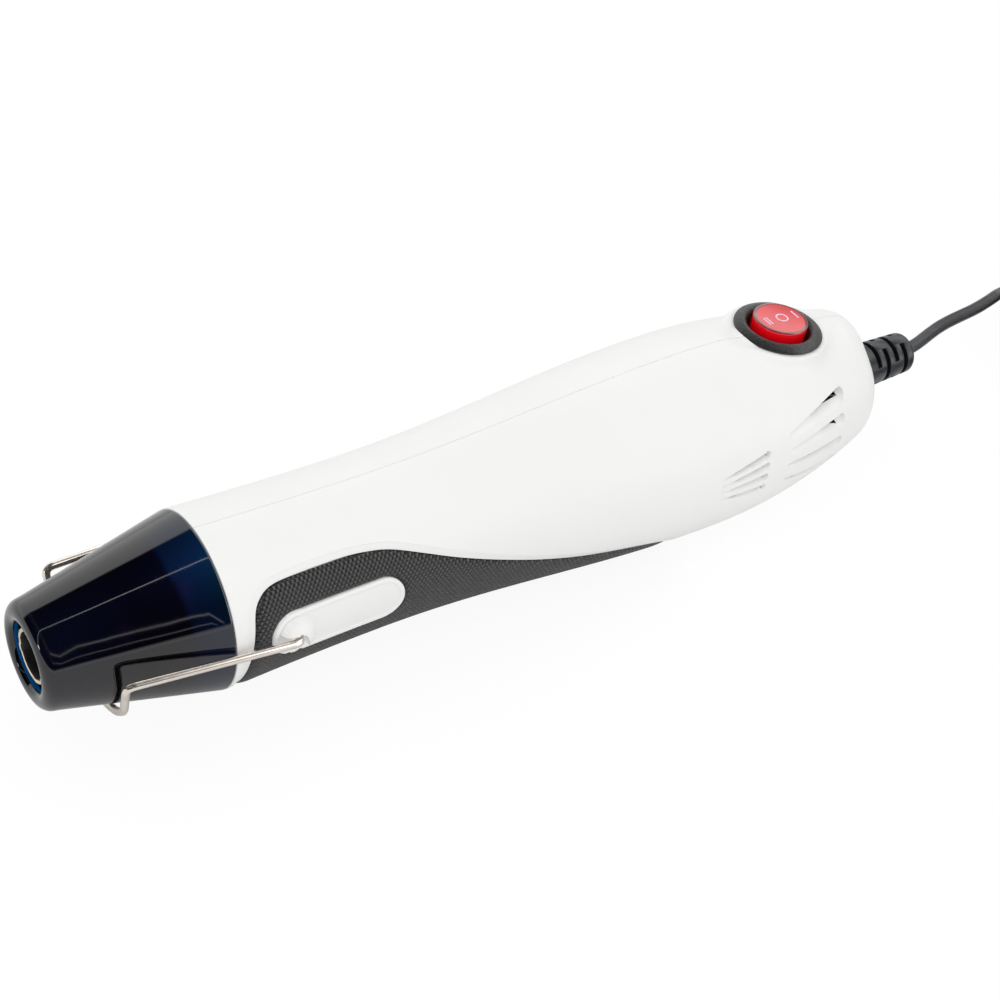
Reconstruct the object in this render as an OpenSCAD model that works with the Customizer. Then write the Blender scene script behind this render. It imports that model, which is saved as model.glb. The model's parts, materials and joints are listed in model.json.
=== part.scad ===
// Hand-held embossing heat tool with a folding wire stand, a round rocker switch and a mains cord.
// The tool's axis runs along X with the nozzle towards -X, and the switch is on top, towards +Z.
// Modules are drawn from the nozzle's front rim at x = 0 and the tool's axis at z = 0, and place() moves
// them so that the body's belly rests on z = 0.

/* [Body] */
// Length of the heat shield in front of the body
shield_len = 39.7; // [34:0.1:46]
// Radius of the shield's front rim
shield_front_r = 12; // [11:0.1:13]
// Radius where the shield meets the body
collar_r = 21.2; // [20.4:0.1:22.5]
// Distance of the narrow neck from the front rim
neck_x = 80; // [74:1:86]
// Radius of the narrow neck
neck_r = 20.4; // [19.6:0.1:21.2]
// Distance of the belly from the front rim
belly_x = 176; // [170:1:182]
// Radius of the belly
belly_r = 25.8; // [25:0.1:27]
// Distance of the tail's corner from the front rim
tail_x = 225; // [222:0.5:230]
// Radius at the tail's corner
tail_r = 18; // [17:0.1:19.5]
// Radius of the tail's rounded corner
tail_round = 11; // [9:0.5:12]
// Wall of the body shells
wall = 2.4; // [2:0.1:3]

/* [Heat shield] */
// Wall of the shield
shield_wall = 1.6; // [1.2:0.1:2]
// Radius of the shield's front opening
mouth_r = 8.6; // [8:0.1:9.4]
// Radius of the rounding around the front rim
rim_round = 3; // [2:0.1:3.2]
// Length of the body's spigot inside the shield
spigot_len = 8; // [6:0.5:10]
// Height of the shield's inner bead
bead_h = 0.7; // [0.4:0.1:0.9]

/* [Heater] */
// Outer radius of the outlet tube
outlet_r = 6.4; // [6:0.1:7]
// Length of the outlet tube before its cone
outlet_len = 8; // [6:0.5:10]
// How far the outlet tube sits behind the front rim
outlet_inset = 2; // [1:0.5:4]
// Outer radius of the heater barrel
barrel_r = 13.5; // [12.5:0.1:14]
// Distance of the barrel's rear flange behind the shield
flange_back = 31.3; // [28:0.1:34]
// Sheet thickness of the barrel
sheet = 0.5; // [0.4:0.1:0.6]
// Thickness of the mica parts
mica_t = 0.6; // [0.5:0.1:0.8]
// Radius of the heating wire
heat_wire_r = 0.35; // [0.3:0.05:0.45]
// Turns of the heating wire
heat_turns = 10; // [8:1:12]

/* [Motor and fan] */
// Radius of the motor can
motor_r = 12; // [11:0.1:13]
// Length of the motor can
motor_len = 28; // [26:1:30]
// Distance of the motor's front end from the front rim
motor_x = 110; // [108:1:113]
// Radius of the motor shaft
shaft_r = 1; // [0.8:0.1:1.2]
// Gap between the fan's blades and the wall, where the wires pass
fan_gap = 2.8; // [2.7:0.1:4]
// Blades of the fan
fan_blades = 7; // [5:1:9]
// Depth of the fan's blades along the axis
fan_w = 9; // [7:0.5:10]

/* [Switch] */
// Distance of the switch's centre from the front rim
switch_x = 203.7; // [202:0.1:205]
// Height of the switch's seat above the axis
seat_z = 23; // [22.6:0.1:24]
// Rearward tilt of the seat
seat_tilt = 4; // [2:0.5:6]
// Radius of the switch's bezel
bezel_r = 11.5; // [11:0.1:12]
// Height of the bezel
bezel_h = 1.6; // [1.4:0.1:2.2]
// Radius of the hole that the switch fits
switch_hole_r = 10.1; // [10:0.05:10.2]
// Radius of the bezel's opening
bezel_open_r = 8.15; // [8:0.05:8.4]
// Radius of the rocker's top
rocker_r = 7.1; // [6.8:0.05:7.2]
// How far the rocker stands above the bezel
rocker_proud = 1.8; // [1.5:0.1:2.4]
// Depth of the switch body below its seat
switch_depth = 14; // [13.5:0.5:15]
// Radius of the platform around the switch
platform_r = 12.8; // [12.5:0.1:13.2]

/* [Grip and pads] */
// Thickness of the rubber grip
grip_t = 1.4; // [1.2:0.1:1.5]
// Half width of the side pads
pad_half = 5.7; // [5.2:0.1:6]
// Distance between the centres of a pad's round ends
pad_len = 22.2; // [20:0.1:24]
// How far the pads stand above the grip
pad_proud = 0.5; // [0.3:0.1:0.8]
// Width of a pad's raised rim
pad_rim = 0.9; // [0.7:0.1:1.2]

/* [Stand] */
// Distance of the stand's pivot behind the shield
pivot_back = 14.6; // [13:0.1:16]
// Height of the stand's pivot above the axis
pivot_z = 0.9; // [0:0.1:2]
// Radius of the stand's wire
wire_r = 0.95; // [0.9:0.05:1.05]
// Radius of the pivot boss
boss_r = 3.4; // [3:0.1:4]
// Distance of the stand's front corners from the front rim
bail_x = 13.7; // [12:0.1:15]
// Half width of the stand at its front corners
bail_half = 20.7; // [20.4:0.1:21.5]

/* [Cord] */
// Diameter of the cord
cord_d = 3.6; // [3.4:0.1:3.8]
// Length of the strain relief behind the body
relief_len = 20; // [18:0.5:22]
// Radius of the strain relief where it meets the body
relief_r = 6.3; // [6:0.1:6.6]
// Radius at the middle of the coil's loops
coil_r = 20.5; // [19:0.1:21.6]
// Gap between the loops of the coil
coil_gap = 0.5; // [0.45:0.05:0.8]
// Thickness of the coil's tie
tie_t = 0.7; // [0.5:0.1:1]

/* [Plug] */
// Width of the plug's body
plug_w = 35; // [34:0.5:36]
// Height of the plug's body
plug_h = 13.6; // [13:0.1:14]
// Length of the plug's body
plug_len = 34; // [32:0.5:36]
// Radius of the plug's pins
pin_r = 2; // [1.95:0.01:2.05]
// Length of the plug's pins
pin_len = 19; // [18.5:0.1:19.5]
// Distance between the plug's pins
pin_pitch = 18.6; // [18:0.1:19]

/* [Hidden] */

$fn = 64;

// Gap of a running fit on the radius
run_fit = 0.05;
// Gap left where one piece is pressed or glued onto another
press_gap = 0.01;
// Gap around pieces that only sit beside each other
loose = 0.15;

function shield_r(x) = shield_front_r + (collar_r - shield_front_r) * x / shield_len;
function shield_in(x) = shield_r(x) - shield_wall;

// The body's outline: a slow taper to the neck, a soft swell to the belly and a curve down to the tail.
tail_curve = (belly_r - tail_r) / pow(tail_x - belly_x, 2);
tail_slope = atan(2 * tail_curve * (tail_x - belly_x));
tail_centre = [tail_r - tail_round * cos(tail_slope), tail_x - tail_round * sin(tail_slope)];
body_end = tail_centre[1] + tail_round;
overall = body_end + relief_len;
function body_r(x) =
    x < neck_x ? neck_r + (collar_r - neck_r) * pow(1 - (x - shield_len) / (neck_x - shield_len), 2)
    : x < belly_x ? neck_r + (belly_r - neck_r) * (1 - cos(180 * (x - neck_x) / (belly_x - neck_x))) / 2
    : belly_r - tail_curve * pow(x - belly_x, 2);
function span(a, b, n) = [for (i = [0 : n - 1]) a + (b - a) * i / n];
function outline(inset, from) = concat(
    [for (x = concat(span(from, neck_x, 6), span(neck_x, belly_x, 16), span(belly_x, tail_x, 9)))
        [body_r(x) - inset, x]],
    [for (i = [0 : 7]) let (a = tail_slope + (90 - tail_slope) * i / 7)
        tail_centre + (tail_round - inset) * [cos(a), sin(a)]],
    [[0, body_end - inset]]
);

module place() translate([-overall / 2, 0, belly_r]) children();
// Turns an outline of [radius, x] points around the tool's axis.
module turned(points) rotate([0, 90, 0]) rotate_extrude() polygon(points);
module ring(x, len, outer, inner) turned([[inner, x], [outer, x], [outer, x + len], [inner, x + len]]);
module rod(x, len, r) translate([x, 0, 0]) rotate([0, 90, 0]) cylinder(h = len, r = r);
// Pushes a side view, drawn in x and z, through the whole width.
module side_cut(half) rotate([90, 0, 0]) translate([0, 0, -half]) linear_extrude(height = 2 * half) children();
module cross_pin(x, z, y0, y1, r) translate([x, y1, z]) rotate([90, 0, 0]) cylinder(h = y1 - y0, r = r);
module left_only() intersection() {
    children();
    translate([-10, -60, -60]) cube([overall + 20, 60, 120]);
}
module right_only() intersection() {
    children();
    translate([-10, 0, -60]) cube([overall + 20, 60, 120]);
}
// The switch's own frame: its origin on the seat's centre and +Z out of the seat.
module at_switch() translate([switch_x, 0, seat_z]) rotate([0, seat_tilt, 0]) children();

// Straight runs with rounded corners: each corner becomes a short curve that starts `cut` away from it.
function unit(v) = v / norm(v);
function corner(a, b, c, cut, steps) =
    let (p = b + cut * unit(a - b), q = b + cut * unit(c - b))
    [for (i = [0 : steps]) let (t = i / steps) pow(1 - t, 2) * p + 2 * t * (1 - t) * b + t * t * q];
function rounded(pts, cut, steps) = [
    pts[0],
    for (i = [1 : len(pts) - 2]) each corner(pts[i - 1], pts[i], pts[i + 1], cut, steps),
    pts[len(pts) - 1]
];
// A smooth curve through points, with `n` steps between each pair.
function catmull(a, b, c, d, t) =
    0.5 * (2 * b + (c - a) * t + (2 * a - 5 * b + 4 * c - d) * t * t + (3 * b - a - 3 * c + d) * t * t * t);
function smooth(pts, n) = [
    for (i = [0 : len(pts) - 2], k = [0 : n - 1])
        catmull(pts[max(i - 1, 0)], pts[i], pts[i + 1], pts[min(i + 2, len(pts) - 1)], k / n),
    pts[len(pts) - 1]
];
function tangent(pts, i) = unit(pts[min(i + 1, len(pts) - 1)] - pts[max(i - 1, 0)]);
function square_to(v, t) = unit(v - (v * t) * t);
function normals(pts, n, i = 0) = i >= len(pts) ? [] : let (m = square_to(n, tangent(pts, i)))
    concat([m], normals(pts, m, i + 1));
module tube(pts, r, sides, first) {
    side = normals(pts, first);
    rings = [for (i = [0 : len(pts) - 1], k = [0 : sides - 1])
        let (a = 360 * k / sides) pts[i] + r * (cos(a) * side[i] + sin(a) * cross(tangent(pts, i), side[i]))];
    last = (len(pts) - 1) * sides;
    polyhedron(rings, concat(
        [[for (k = [0 : sides - 1]) k]],
        [for (i = [0 : len(pts) - 2], k = [0 : sides - 1], h = [0, 1])
            let (a = i * sides + k, b = i * sides + (k + 1) % sides)
            h == 0 ? [a, b + sides, b] : [a, a + sides, b + sides]],
        [[for (k = [0 : sides - 1]) last + sides - 1 - k]]
    ));
}

// Grip's edge in the side view: up its front end, over the pads and down to a tongue under the belly.
grip_front = shield_len + 4.6;
grip_edge = smooth([for (q = [[-2.1, -19], [-1.9, -14], [-1.6, -9.3], [-0.9, -3], [0, 3], [0.9, 8.8],
    [2.6, 11.4], [5.6, 12.9], [11, 13.3], [23.7, 13.2], [30.7, 12.6], [36.2, 11.5], [43.2, 8.9],
    [53.2, 4.7], [64.2, 0.4], [76.2, -4], [88.7, -7.9], [104.7, -11.9], [113.7, -15.2], [120.2, -19],
    [124.5, -23], [126.1, -27]]) [grip_front + q[0], q[1]]], 3);
module grip_region() side_cut(40)
    polygon(concat([[grip_edge[0][0], -40]], grip_edge, [[grip_edge[len(grip_edge) - 1][0], -40]]));

pivot_x = shield_len + pivot_back;

// The pad's outline: two round ends joined by straight sides.
module obround(half) {
    translate([pivot_x, pivot_z]) circle(r = half);
    translate([pivot_x + pad_len, pivot_z]) circle(r = half);
    translate([pivot_x, pivot_z - half]) square([pad_len, 2 * half]);
}

// One louvre of the air inlets: its top wall points at the axis and its floor slopes up to meet the surface.
// Each end is given as [x, angle from the top, width, depth].
function louvre_end(e, side) =
    let (r = body_r(e[0]), top = e[1], foot = e[1] + e[2] / r * 57.3, out = 1.6)
    [for (q = [[top, r + out], [foot + out / e[3] * (foot - top) * 0.8, r + out],
               [top + (foot - top) * 0.3, r - e[3]], [top, r - e[3]]])
        [e[0], side * q[1] * sin(q[0]), q[1] * cos(q[0])]];
module louvre(a, b, side) polyhedron(
    concat(louvre_end(a, side), louvre_end(b, side)),
    side < 0 ? [[0, 1, 2, 3], [7, 6, 5, 4], [0, 4, 5, 1], [1, 5, 6, 2], [2, 6, 7, 3], [3, 7, 4, 0]]
             : [[3, 2, 1, 0], [4, 5, 6, 7], [1, 5, 4, 0], [2, 6, 5, 1], [3, 7, 6, 2], [0, 4, 7, 3]]
);
rear_x = [192, 213.8];
front_x = [170.2, 185.2];
rear_fan = [[67.3, 50], [77.5, 69.8], [87, 88.2], [98.3, 107.5]];
front_fan = [[79.4, 71.9], [84, 79.2], [88.3, 86.6], [93.1, 94.7]];
module louvres(side) {
    for (s = rear_fan) louvre([rear_x[0], s[0], 1.6, 0.8], [rear_x[1], s[1], 4.2, 3.4], side);
    for (s = front_fan) louvre([front_x[0], s[0], 0.6, 0.6], [front_x[1], s[1], 2, 3], side);
}

// Housing screws: their x and z, all driven from the +Y side.
screw_r = 1.45;
head_r = 2.8;
head_h = 1.8;
screw_depth = 8;
seat_y = 8;
screw_spots = [[96, 12], [166, 14], [166, -14], [body_end - 8, 8.5], [body_end - 8, -8.5]];
boss_left_r = 3;
boss_right_r = head_r + 1.6;

spigot_x = shield_len - spigot_len;
bead_x = shield_len - spigot_len / 2;
bead_w = 1.6;
spigot_wall = 1.5;
function spigot_r(x) = shield_in(x) - loose;

flange_x = shield_len + flange_back;
flange_r = barrel_r + 3;
rib_w = 1.6;
relief_hole_r = relief_r - 1.3;
clamp_x = body_end - 18;

module shell_solid() {
    turned(concat([[0, spigot_x], [spigot_r(spigot_x), spigot_x], [spigot_r(shield_len), shield_len]],
        outline(0, shield_len)));
    at_switch() translate([0, 0, -8]) cylinder(h = 8.3, r = platform_r);
    platform_blend();
}
// The platform spreads into the body's sides and runs back as a ridge down to the tail.
ridge_r = 10.5;
ridge_z = 10.6;
ridge_inset = 0.9;
module platform_blend() {
    at_switch() rotate_extrude() polygon([[0, -9], [platform_r + 3.6, -9], [platform_r + 2.2, -6.3],
        [platform_r + 1.2, -5], [platform_r + 0.5, -3.6], [platform_r + 0.15, -2],
        [platform_r - 0.1, -0.5], [0, -0.5]]);
    hull() {
        at_switch() translate([0, 0, -6]) cylinder(h = 4.6, r = platform_r - 1.2, $fn = 32);
        translate([body_end - ridge_r - ridge_inset, 0, ridge_z]) sphere(r = ridge_r, $fn = 32);
    }
}
module cavity() {
    turned([[0, spigot_x - 1], [spigot_r(spigot_x) - spigot_wall, spigot_x - 1],
        [spigot_r(shield_len) - spigot_wall, shield_len], [spigot_r(shield_len) - spigot_wall, shield_len + 3],
        [0, shield_len + 3]]);
    turned(concat([[0, shield_len + 2]], outline(wall, shield_len + 2)));
}
// Inner ribs, kept inside the shell.
module inner_ribs() intersection() {
    turned(concat([[0, shield_len]], outline(wall - 0.6, shield_len)));
    union() {
        ring(flange_x - 20, rib_w, collar_r, barrel_r + loose);
        ring(flange_x - rib_w - loose, rib_w, collar_r, barrel_r + loose);
        ring(flange_x + 1 + loose, rib_w, collar_r, barrel_r + loose);
        for (x = [motor_x + 3, motor_x + motor_len - 6]) {
            ring(x, 3, motor_r + 2, motor_r + loose);
            for (a = [45 : 90 : 315]) rotate([a, 0, 0])
                translate([x + 0.5, -0.9, motor_r + 1]) cube([2, 1.8, 14]);
        }
        for (s = [-1, 1], z = [board_z - rib_w - loose, board_z + board_t + loose])
            translate([board_x + 2, s * (board_w / 2 + 3) - 5, z]) cube([board_len - 4, 10, rib_w]);
    }
}
module outer_form(side) difference() {
    union() {
        difference() {
            shell_solid();
            cavity();
            intersection() {
                grip_region();
                difference() {
                    turned(concat([[0, shield_len]], outline(-3, shield_len)));
                    turned(concat([[0, shield_len]], outline(grip_t + run_fit, shield_len)));
                }
            }
        }
        inner_ribs();
        pad(side);
    }
    at_switch() translate([0, 0, -12]) cylinder(h = 20, r = switch_hole_r);
    at_switch() cylinder(h = 6, r = platform_r + 0.4);
    ring(bead_x - bead_w / 2 - loose, bead_w + 2 * loose, collar_r, spigot_r(bead_x) - bead_h - loose);
    rod(body_end - wall - 4, 20, relief_hole_r + loose);
    louvres(side);
    pivot_hole(side);
}
module pad(side) {
    intersection() {
        side_cut(40) obround(pad_half);
        difference() {
            turned(concat([[0, shield_len]], outline(-pad_proud, shield_len)));
            turned(concat([[0, shield_len]], outline(wall - 0.5, shield_len)));
            intersection() {
                side_cut(40) obround(pad_half - pad_rim);
                difference() {
                    turned(concat([[0, shield_len]], outline(-3, shield_len)));
                    turned(concat([[0, shield_len]], outline(0.1 - pad_proud / 2, shield_len)));
                }
            }
        }
    }
    pivot_boss(side);
}
// Half of a low dome over the stand's pivot: the wire lies under its open lower side.
arm_y = collar_r + wire_r + 1.6;
boss_cut = 0.5;
module pivot_boss(side) intersection() {
    translate([pivot_x, 0, pivot_z]) rotate([side < 0 ? 90 : -90, 0, 0]) {
        translate([0, 0, body_r(pivot_x) - 1.6]) cylinder(h = 3.4, r = boss_r);
        translate([0, 0, body_r(pivot_x) + 1.8]) cylinder(h = 0.9, r1 = boss_r, r2 = boss_r - 1.3);
    }
    translate([pivot_x - 10, -40, pivot_z + wire_r + boss_cut]) cube([20, 80, 20]);
}
module pivot_hole(side) cross_pin(pivot_x, pivot_z, side < 0 ? -30 : 10, side < 0 ? -10 : 30, wire_r + run_fit);

module left_housing() color("whitesmoke") place() left_only() difference() {
    union() {
        outer_form(-1);
        intersection() {
            turned(concat([[0, shield_len]], outline(wall - 0.6, shield_len)));
            for (s = screw_spots) cross_pin(s[0], s[1], -40, 0, boss_left_r);
        }
    }
    for (s = screw_spots) cross_pin(s[0], s[1], -screw_depth - 1, 1, screw_r + run_fit);
}
module right_housing() color("whitesmoke") place() right_only() difference() {
    union() {
        outer_form(1);
        intersection() {
            turned(concat([[0, shield_len]], outline(wall - 0.6, shield_len)));
            union() {
                for (s = screw_spots) cross_pin(s[0], s[1], 0, 40, boss_right_r);
                clamp_posts();
            }
        }
    }
    for (s = screw_spots) {
        cross_pin(s[0], s[1], -1, 40, screw_r + loose);
        cross_pin(s[0], s[1], seat_y, 40, head_r + loose);
    }
    clamp_pilots();
}
module screw(len, head) {
    cylinder(h = head_h, r1 = head, r2 = head - 0.6);
    translate([0, 0, -len + 1.5]) cylinder(h = len - 1.5, r = screw_r);
    translate([0, 0, -len]) cylinder(h = 1.5, r1 = 0.5, r2 = screw_r);
}
module cross_slot() for (a = [0, 90]) rotate([0, 0, a])
    translate([-1.6, -0.35, head_h - 1]) cube([3.2, 0.7, 2]);
module housing_screws() color("silver") place() for (s = screw_spots)
    translate([s[0], seat_y, s[1]]) rotate([-90, 0, 0]) difference() {
        screw(seat_y + screw_depth, head_r);
        cross_slot();
    }

module grip_sleeve() color("#2a2a2c") place() difference() {
    intersection() {
        translate([run_fit, 0, -run_fit]) grip_region();
        difference() {
            turned(concat([[0, shield_len]], outline(-0.1, shield_len)));
            turned(concat([[0, shield_len]], outline(grip_t, shield_len)));
        }
    }
    side_cut(40) obround(pad_half + loose);
}

// Shield: a straight cone with a rounded front rim and a bead that the body's spigot holds.
module nozzle_shield() color("#10153a") place() turned(concat(
    [[mouth_r, 0.8], [mouth_r + 0.5, 0.2]],
    [for (i = [0 : 5]) let (a = 90 - 75 * i / 5)
        [shield_r(rim_round) - rim_round + rim_round * cos(a), rim_round - rim_round * sin(a)]],
    [[shield_r(shield_len), shield_len - loose], [shield_in(shield_len), shield_len - loose],
     [shield_in(bead_x), bead_x + bead_w / 2], [shield_in(bead_x) - bead_h, bead_x + bead_w / 4],
     [shield_in(bead_x) - bead_h, bead_x - bead_w / 4], [shield_in(bead_x), bead_x - bead_w / 2],
     [shield_in(rim_round), rim_round], [mouth_r, rim_round - 0.6]]
));

// Heater barrel: outlet tube, cone and straight tube in one sheet, with a flange between the body's ribs.
cone_x0 = outlet_inset + outlet_len;
cone_x1 = cone_x0 + 12;
liner_in = barrel_r - sheet - run_fit - mica_t;
module heater_barrel() color("silver") place() turned([
    [outlet_r - sheet, outlet_inset], [outlet_r, outlet_inset], [outlet_r, cone_x0], [barrel_r, cone_x1],
    [barrel_r, flange_x], [flange_r, flange_x], [flange_r, flange_x + 1], [barrel_r - sheet, flange_x + 1],
    [barrel_r - sheet, cone_x1], [outlet_r - sheet, cone_x0]
]);
module outlet_liner() color("tan") place()
    ring(outlet_inset - 0.3, outlet_len, outlet_r - sheet - run_fit, outlet_r - sheet - run_fit - mica_t);
module mica_liner() color("tan") place()
    ring(cone_x1 + 1, flange_x - cone_x1 - 2, barrel_r - sheet - run_fit, liner_in);
former_x = cone_x1 + 3;
disc_t = 1;
disc_x = flange_x - 2;
former_len = disc_x - former_x;
coil_pitch_r = liner_in - 0.5 - heat_wire_r;
former_half = coil_pitch_r - heat_wire_r - run_fit;
module mica_former() color("wheat") place() {
    translate([former_x, -mica_t / 2, -former_half]) cube([former_len, mica_t, 2 * former_half]);
    translate([former_x, -former_half, -mica_t / 2]) cube([former_len, 2 * former_half, mica_t]);
}
heat_path = [for (i = [0 : heat_turns * 16]) let (a = i * 22.5)
    [former_x + 2 + (former_len - 4) * i / (heat_turns * 16), coil_pitch_r * cos(a), coil_pitch_r * sin(a)]];
module heating_coil() color("dimgray") place() tube(heat_path, heat_wire_r, 6, [0, 1, 0]);
// Rear disc of the heater, with air holes around it.
module end_disc() color("wheat") place() difference() {
    rod(disc_x, disc_t, liner_in - run_fit);
    for (a = [0 : 60 : 300]) rotate([a, 0, 0]) translate([0, 0, 7.5]) rod(disc_x - 1, disc_t + 2, 2.4);
    rod(disc_x - 1, disc_t + 2, 2.4);
}
module thermal_cutout() color("silver") place() translate([disc_x + disc_t, 4.6, -2]) cube([7, 2.6, 4]);

// Motor: a can with two magnets, a shaft in two bushes, and a plastic cap that holds the brushes.
can_t = 1;
cap_len = 5;
bush_r = 3;
bush_len = 2.4;
core_r = motor_r - can_t - 2 - 0.5;
core_len = motor_len - 13;
cap_x = motor_x + motor_len;
fan_x = cap_x + cap_len + 4;
fan_r = body_r(fan_x) - wall - fan_gap;
module motor_can() color("silver") place() difference() {
    rod(motor_x, motor_len, motor_r);
    rod(motor_x + can_t, motor_len, motor_r - can_t);
    rod(motor_x - 1, can_t + 2, bush_r);
}
module motor_bushes() color("peru") place() {
    ring(motor_x, bush_len, bush_r - press_gap, shaft_r + run_fit);
    ring(cap_x + cap_len - bush_len, bush_len, bush_r - press_gap, shaft_r + run_fit);
}
// The cap's two arms reach into the can and carry the brushes.
module motor_end_cap() color("#202020") place() {
    difference() {
        rod(cap_x, cap_len, motor_r - 0.2);
        rod(cap_x - 1, cap_len - 0.4, motor_r - 2.2);
        rod(cap_x - 1, cap_len + 2, bush_r);
    }
    for (s = [-1, 1]) translate([com_x, s * (brush_out + 0.75) - 0.75, -1.5])
        cube([cap_x + cap_len - com_x - 1, 1.5, 3]);
}
module motor_magnets() color("dimgray") place() intersection() {
    ring(motor_x + can_t + 2, core_len + 2, motor_r - can_t - press_gap, motor_r - can_t - 2);
    for (s = [-1, 1]) translate([motor_x, s * (motor_r + 2) - motor_r, -7]) cube([motor_len, 2 * motor_r, 14]);
}
module motor_shaft() color("silver") place() rod(motor_x - 2, fan_x + fan_w - motor_x + 3, shaft_r);
core_x = motor_x + can_t + 3;
module armature_core() color("gray") place() difference() {
    rod(core_x, core_len, core_r);
    rod(core_x - 1, core_len + 2, shaft_r + press_gap);
    for (a = [0 : 72 : 288]) rotate([a, 0, 0]) {
        translate([core_x - 1, -0.7, core_r - 4]) cube([core_len + 2, 1.4, 6]);
        translate([0, 0, core_r - 3.4]) rod(core_x - 1, core_len + 2, 1.6);
    }
}
module armature_windings() color("chocolate") place() for (a = [0 : 72 : 288]) rotate([a, 0, 0])
    translate([0, 0, core_r - 3.4]) rod(core_x - 0.8, core_len + 1.6, 1.5);
com_x = core_x + core_len + 2.5;
com_r = 3;
brush_out = com_r + 4.1;
module commutator() color("peru") place() difference() {
    ring(com_x, 5, com_r, shaft_r + press_gap);
    for (a = [36 : 72 : 324]) rotate([a, 0, 0]) translate([com_x - 1, -0.15, com_r - 0.6]) cube([7, 0.3, 2]);
}
module motor_brushes() color("#303030") place() for (s = [-1, 1])
    translate([com_x + 1, s * (brush_out - 2) - 2, -1]) cube([3, 4, 2]);
hub_r = 5;
module fan() color("#303238") place() {
    ring(fan_x, fan_w, hub_r, shaft_r + press_gap);
    intersection() {
        ring(fan_x, fan_w, fan_r, hub_r - 1);
        for (i = [0 : fan_blades - 1]) rotate([360 * i / fan_blades, 0, 0]) translate([fan_x + fan_w / 2, 0, 0])
            rotate([0, 0, 38]) translate([-8, -0.6, hub_r - 0.8]) cube([16, 1.2, fan_r]);
    }
}

// Rectifier: a small board across the body behind the heater.
board_x = flange_x + 13;
board_len = 16;
board_w = 24;
board_z = -9;
board_t = 1.2;
module rectifier_board() color("darkgreen") place() translate([board_x, -board_w / 2, board_z])
    cube([board_len, board_w, board_t]);
module rectifier_diodes() color("#202020") place() for (i = [0 : 3])
    translate([board_x + 2.5 + 3.6 * i, -3.5, board_z + board_t + 1.4])
        rotate([-90, 0, 0]) cylinder(h = 7, r = 1.3);

// Switch: a round bezel and body, three terminals, and a rocker that tips a contact lever.
body_fit_r = switch_hole_r - loose;
rocker_top = bezel_h + rocker_proud;
rocker_pivot = -2;
rocker_low = -4.5;
cavity_low = -7.6;
lever_z = -9.6;
lever_t = 0.5;
tab_w = 4.8;
tab_t = 0.8;
tab_pitch = 6;
trunnion_r = 1.1;
trunnion_y = bezel_open_r + 1.2;
module switch_body() color("#26262a") place() at_switch() difference() {
    rotate_extrude() polygon([[0, -switch_depth], [body_fit_r, -switch_depth], [body_fit_r, 0], [bezel_r, 0],
        [bezel_r, 0.5], [bezel_r - 0.5, 1.1], [bezel_r - 1.9, bezel_h], [0, bezel_h]]);
    translate([0, 0, cavity_low]) cylinder(h = 20, r = bezel_open_r);
    translate([0, 0, bezel_h - 0.7]) cylinder(h = 1, r1 = bezel_open_r, r2 = bezel_open_r + 1);
    translate([-7, -3.2, -11.4]) cube([14, 6.4, 5]);
    for (s = [-1, 1]) translate([0, s * (bezel_open_r + 0.7) + 0.9, rocker_pivot]) rotate([90, 0, 0])
        cylinder(h = 1.8, r = trunnion_r + run_fit);
    for (i = [-1 : 1]) translate([i * tab_pitch - tab_t / 2 - run_fit, -tab_w / 2 - run_fit, -switch_depth - 1])
        cube([tab_t + 2 * run_fit, tab_w + 2 * run_fit, 5]);
}
module switch_terminals() color("gold") place() at_switch() for (i = [-1 : 1])
    translate([i * tab_pitch - tab_t / 2, -tab_w / 2, -switch_depth - 6])
        cube([tab_t, tab_w, switch_depth + 6 + lever_z - (i == 0 ? 0.1 : 1.5)]);
module rocker_cap() color("red") place() at_switch() difference() {
    union() {
        rotate_extrude() polygon([[0, rocker_low], [rocker_r, rocker_low], [rocker_r, rocker_top - 0.4],
            [rocker_r - 0.4, rocker_top], [0, rocker_top]]);
        translate([0, trunnion_y - 0.1, rocker_pivot]) rotate([90, 0, 0])
            cylinder(h = 2 * trunnion_y - 0.2, r = trunnion_r);
        translate([0, 0, rocker_low - 1.6]) cylinder(h = 2, r = 2.6);
    }
    translate([0, 0, rocker_low - 3]) cylinder(h = 7.4, r = 1.5);
    for (s = [-1, 1]) translate([s * 4.6 - 1.4, -4, rocker_low - 1]) cube([2.8, 8, 5.6]);
}
module rocker_plunger() color("white") place() at_switch() {
    translate([0, 0, lever_z + lever_t + 0.35]) cylinder(h = 3, r1 = 0.6, r2 = 1.1);
    translate([0, 0, lever_z + lever_t + 3.3]) cylinder(h = 1.2, r = 1.4);
}
spring_low = lever_z + lever_t + 4.6;
spring_path = [for (i = [0 : 60]) let (a = i * 30)
    [1.05 * cos(a), 1.05 * sin(a), spring_low + 0.2 + 3.9 * i / 60]];
module rocker_spring() color("silver") place() at_switch() tube(spring_path, 0.18, 6, [1, 0, 0]);
module contact_lever() color("gold") place() at_switch() union() {
    translate([-6, -2, lever_z]) cube([12, 4, lever_t]);
    for (s = [-1, 1]) translate([s * 5, 0, lever_z - 0.5]) cylinder(h = 0.6, r = 1);
}

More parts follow.
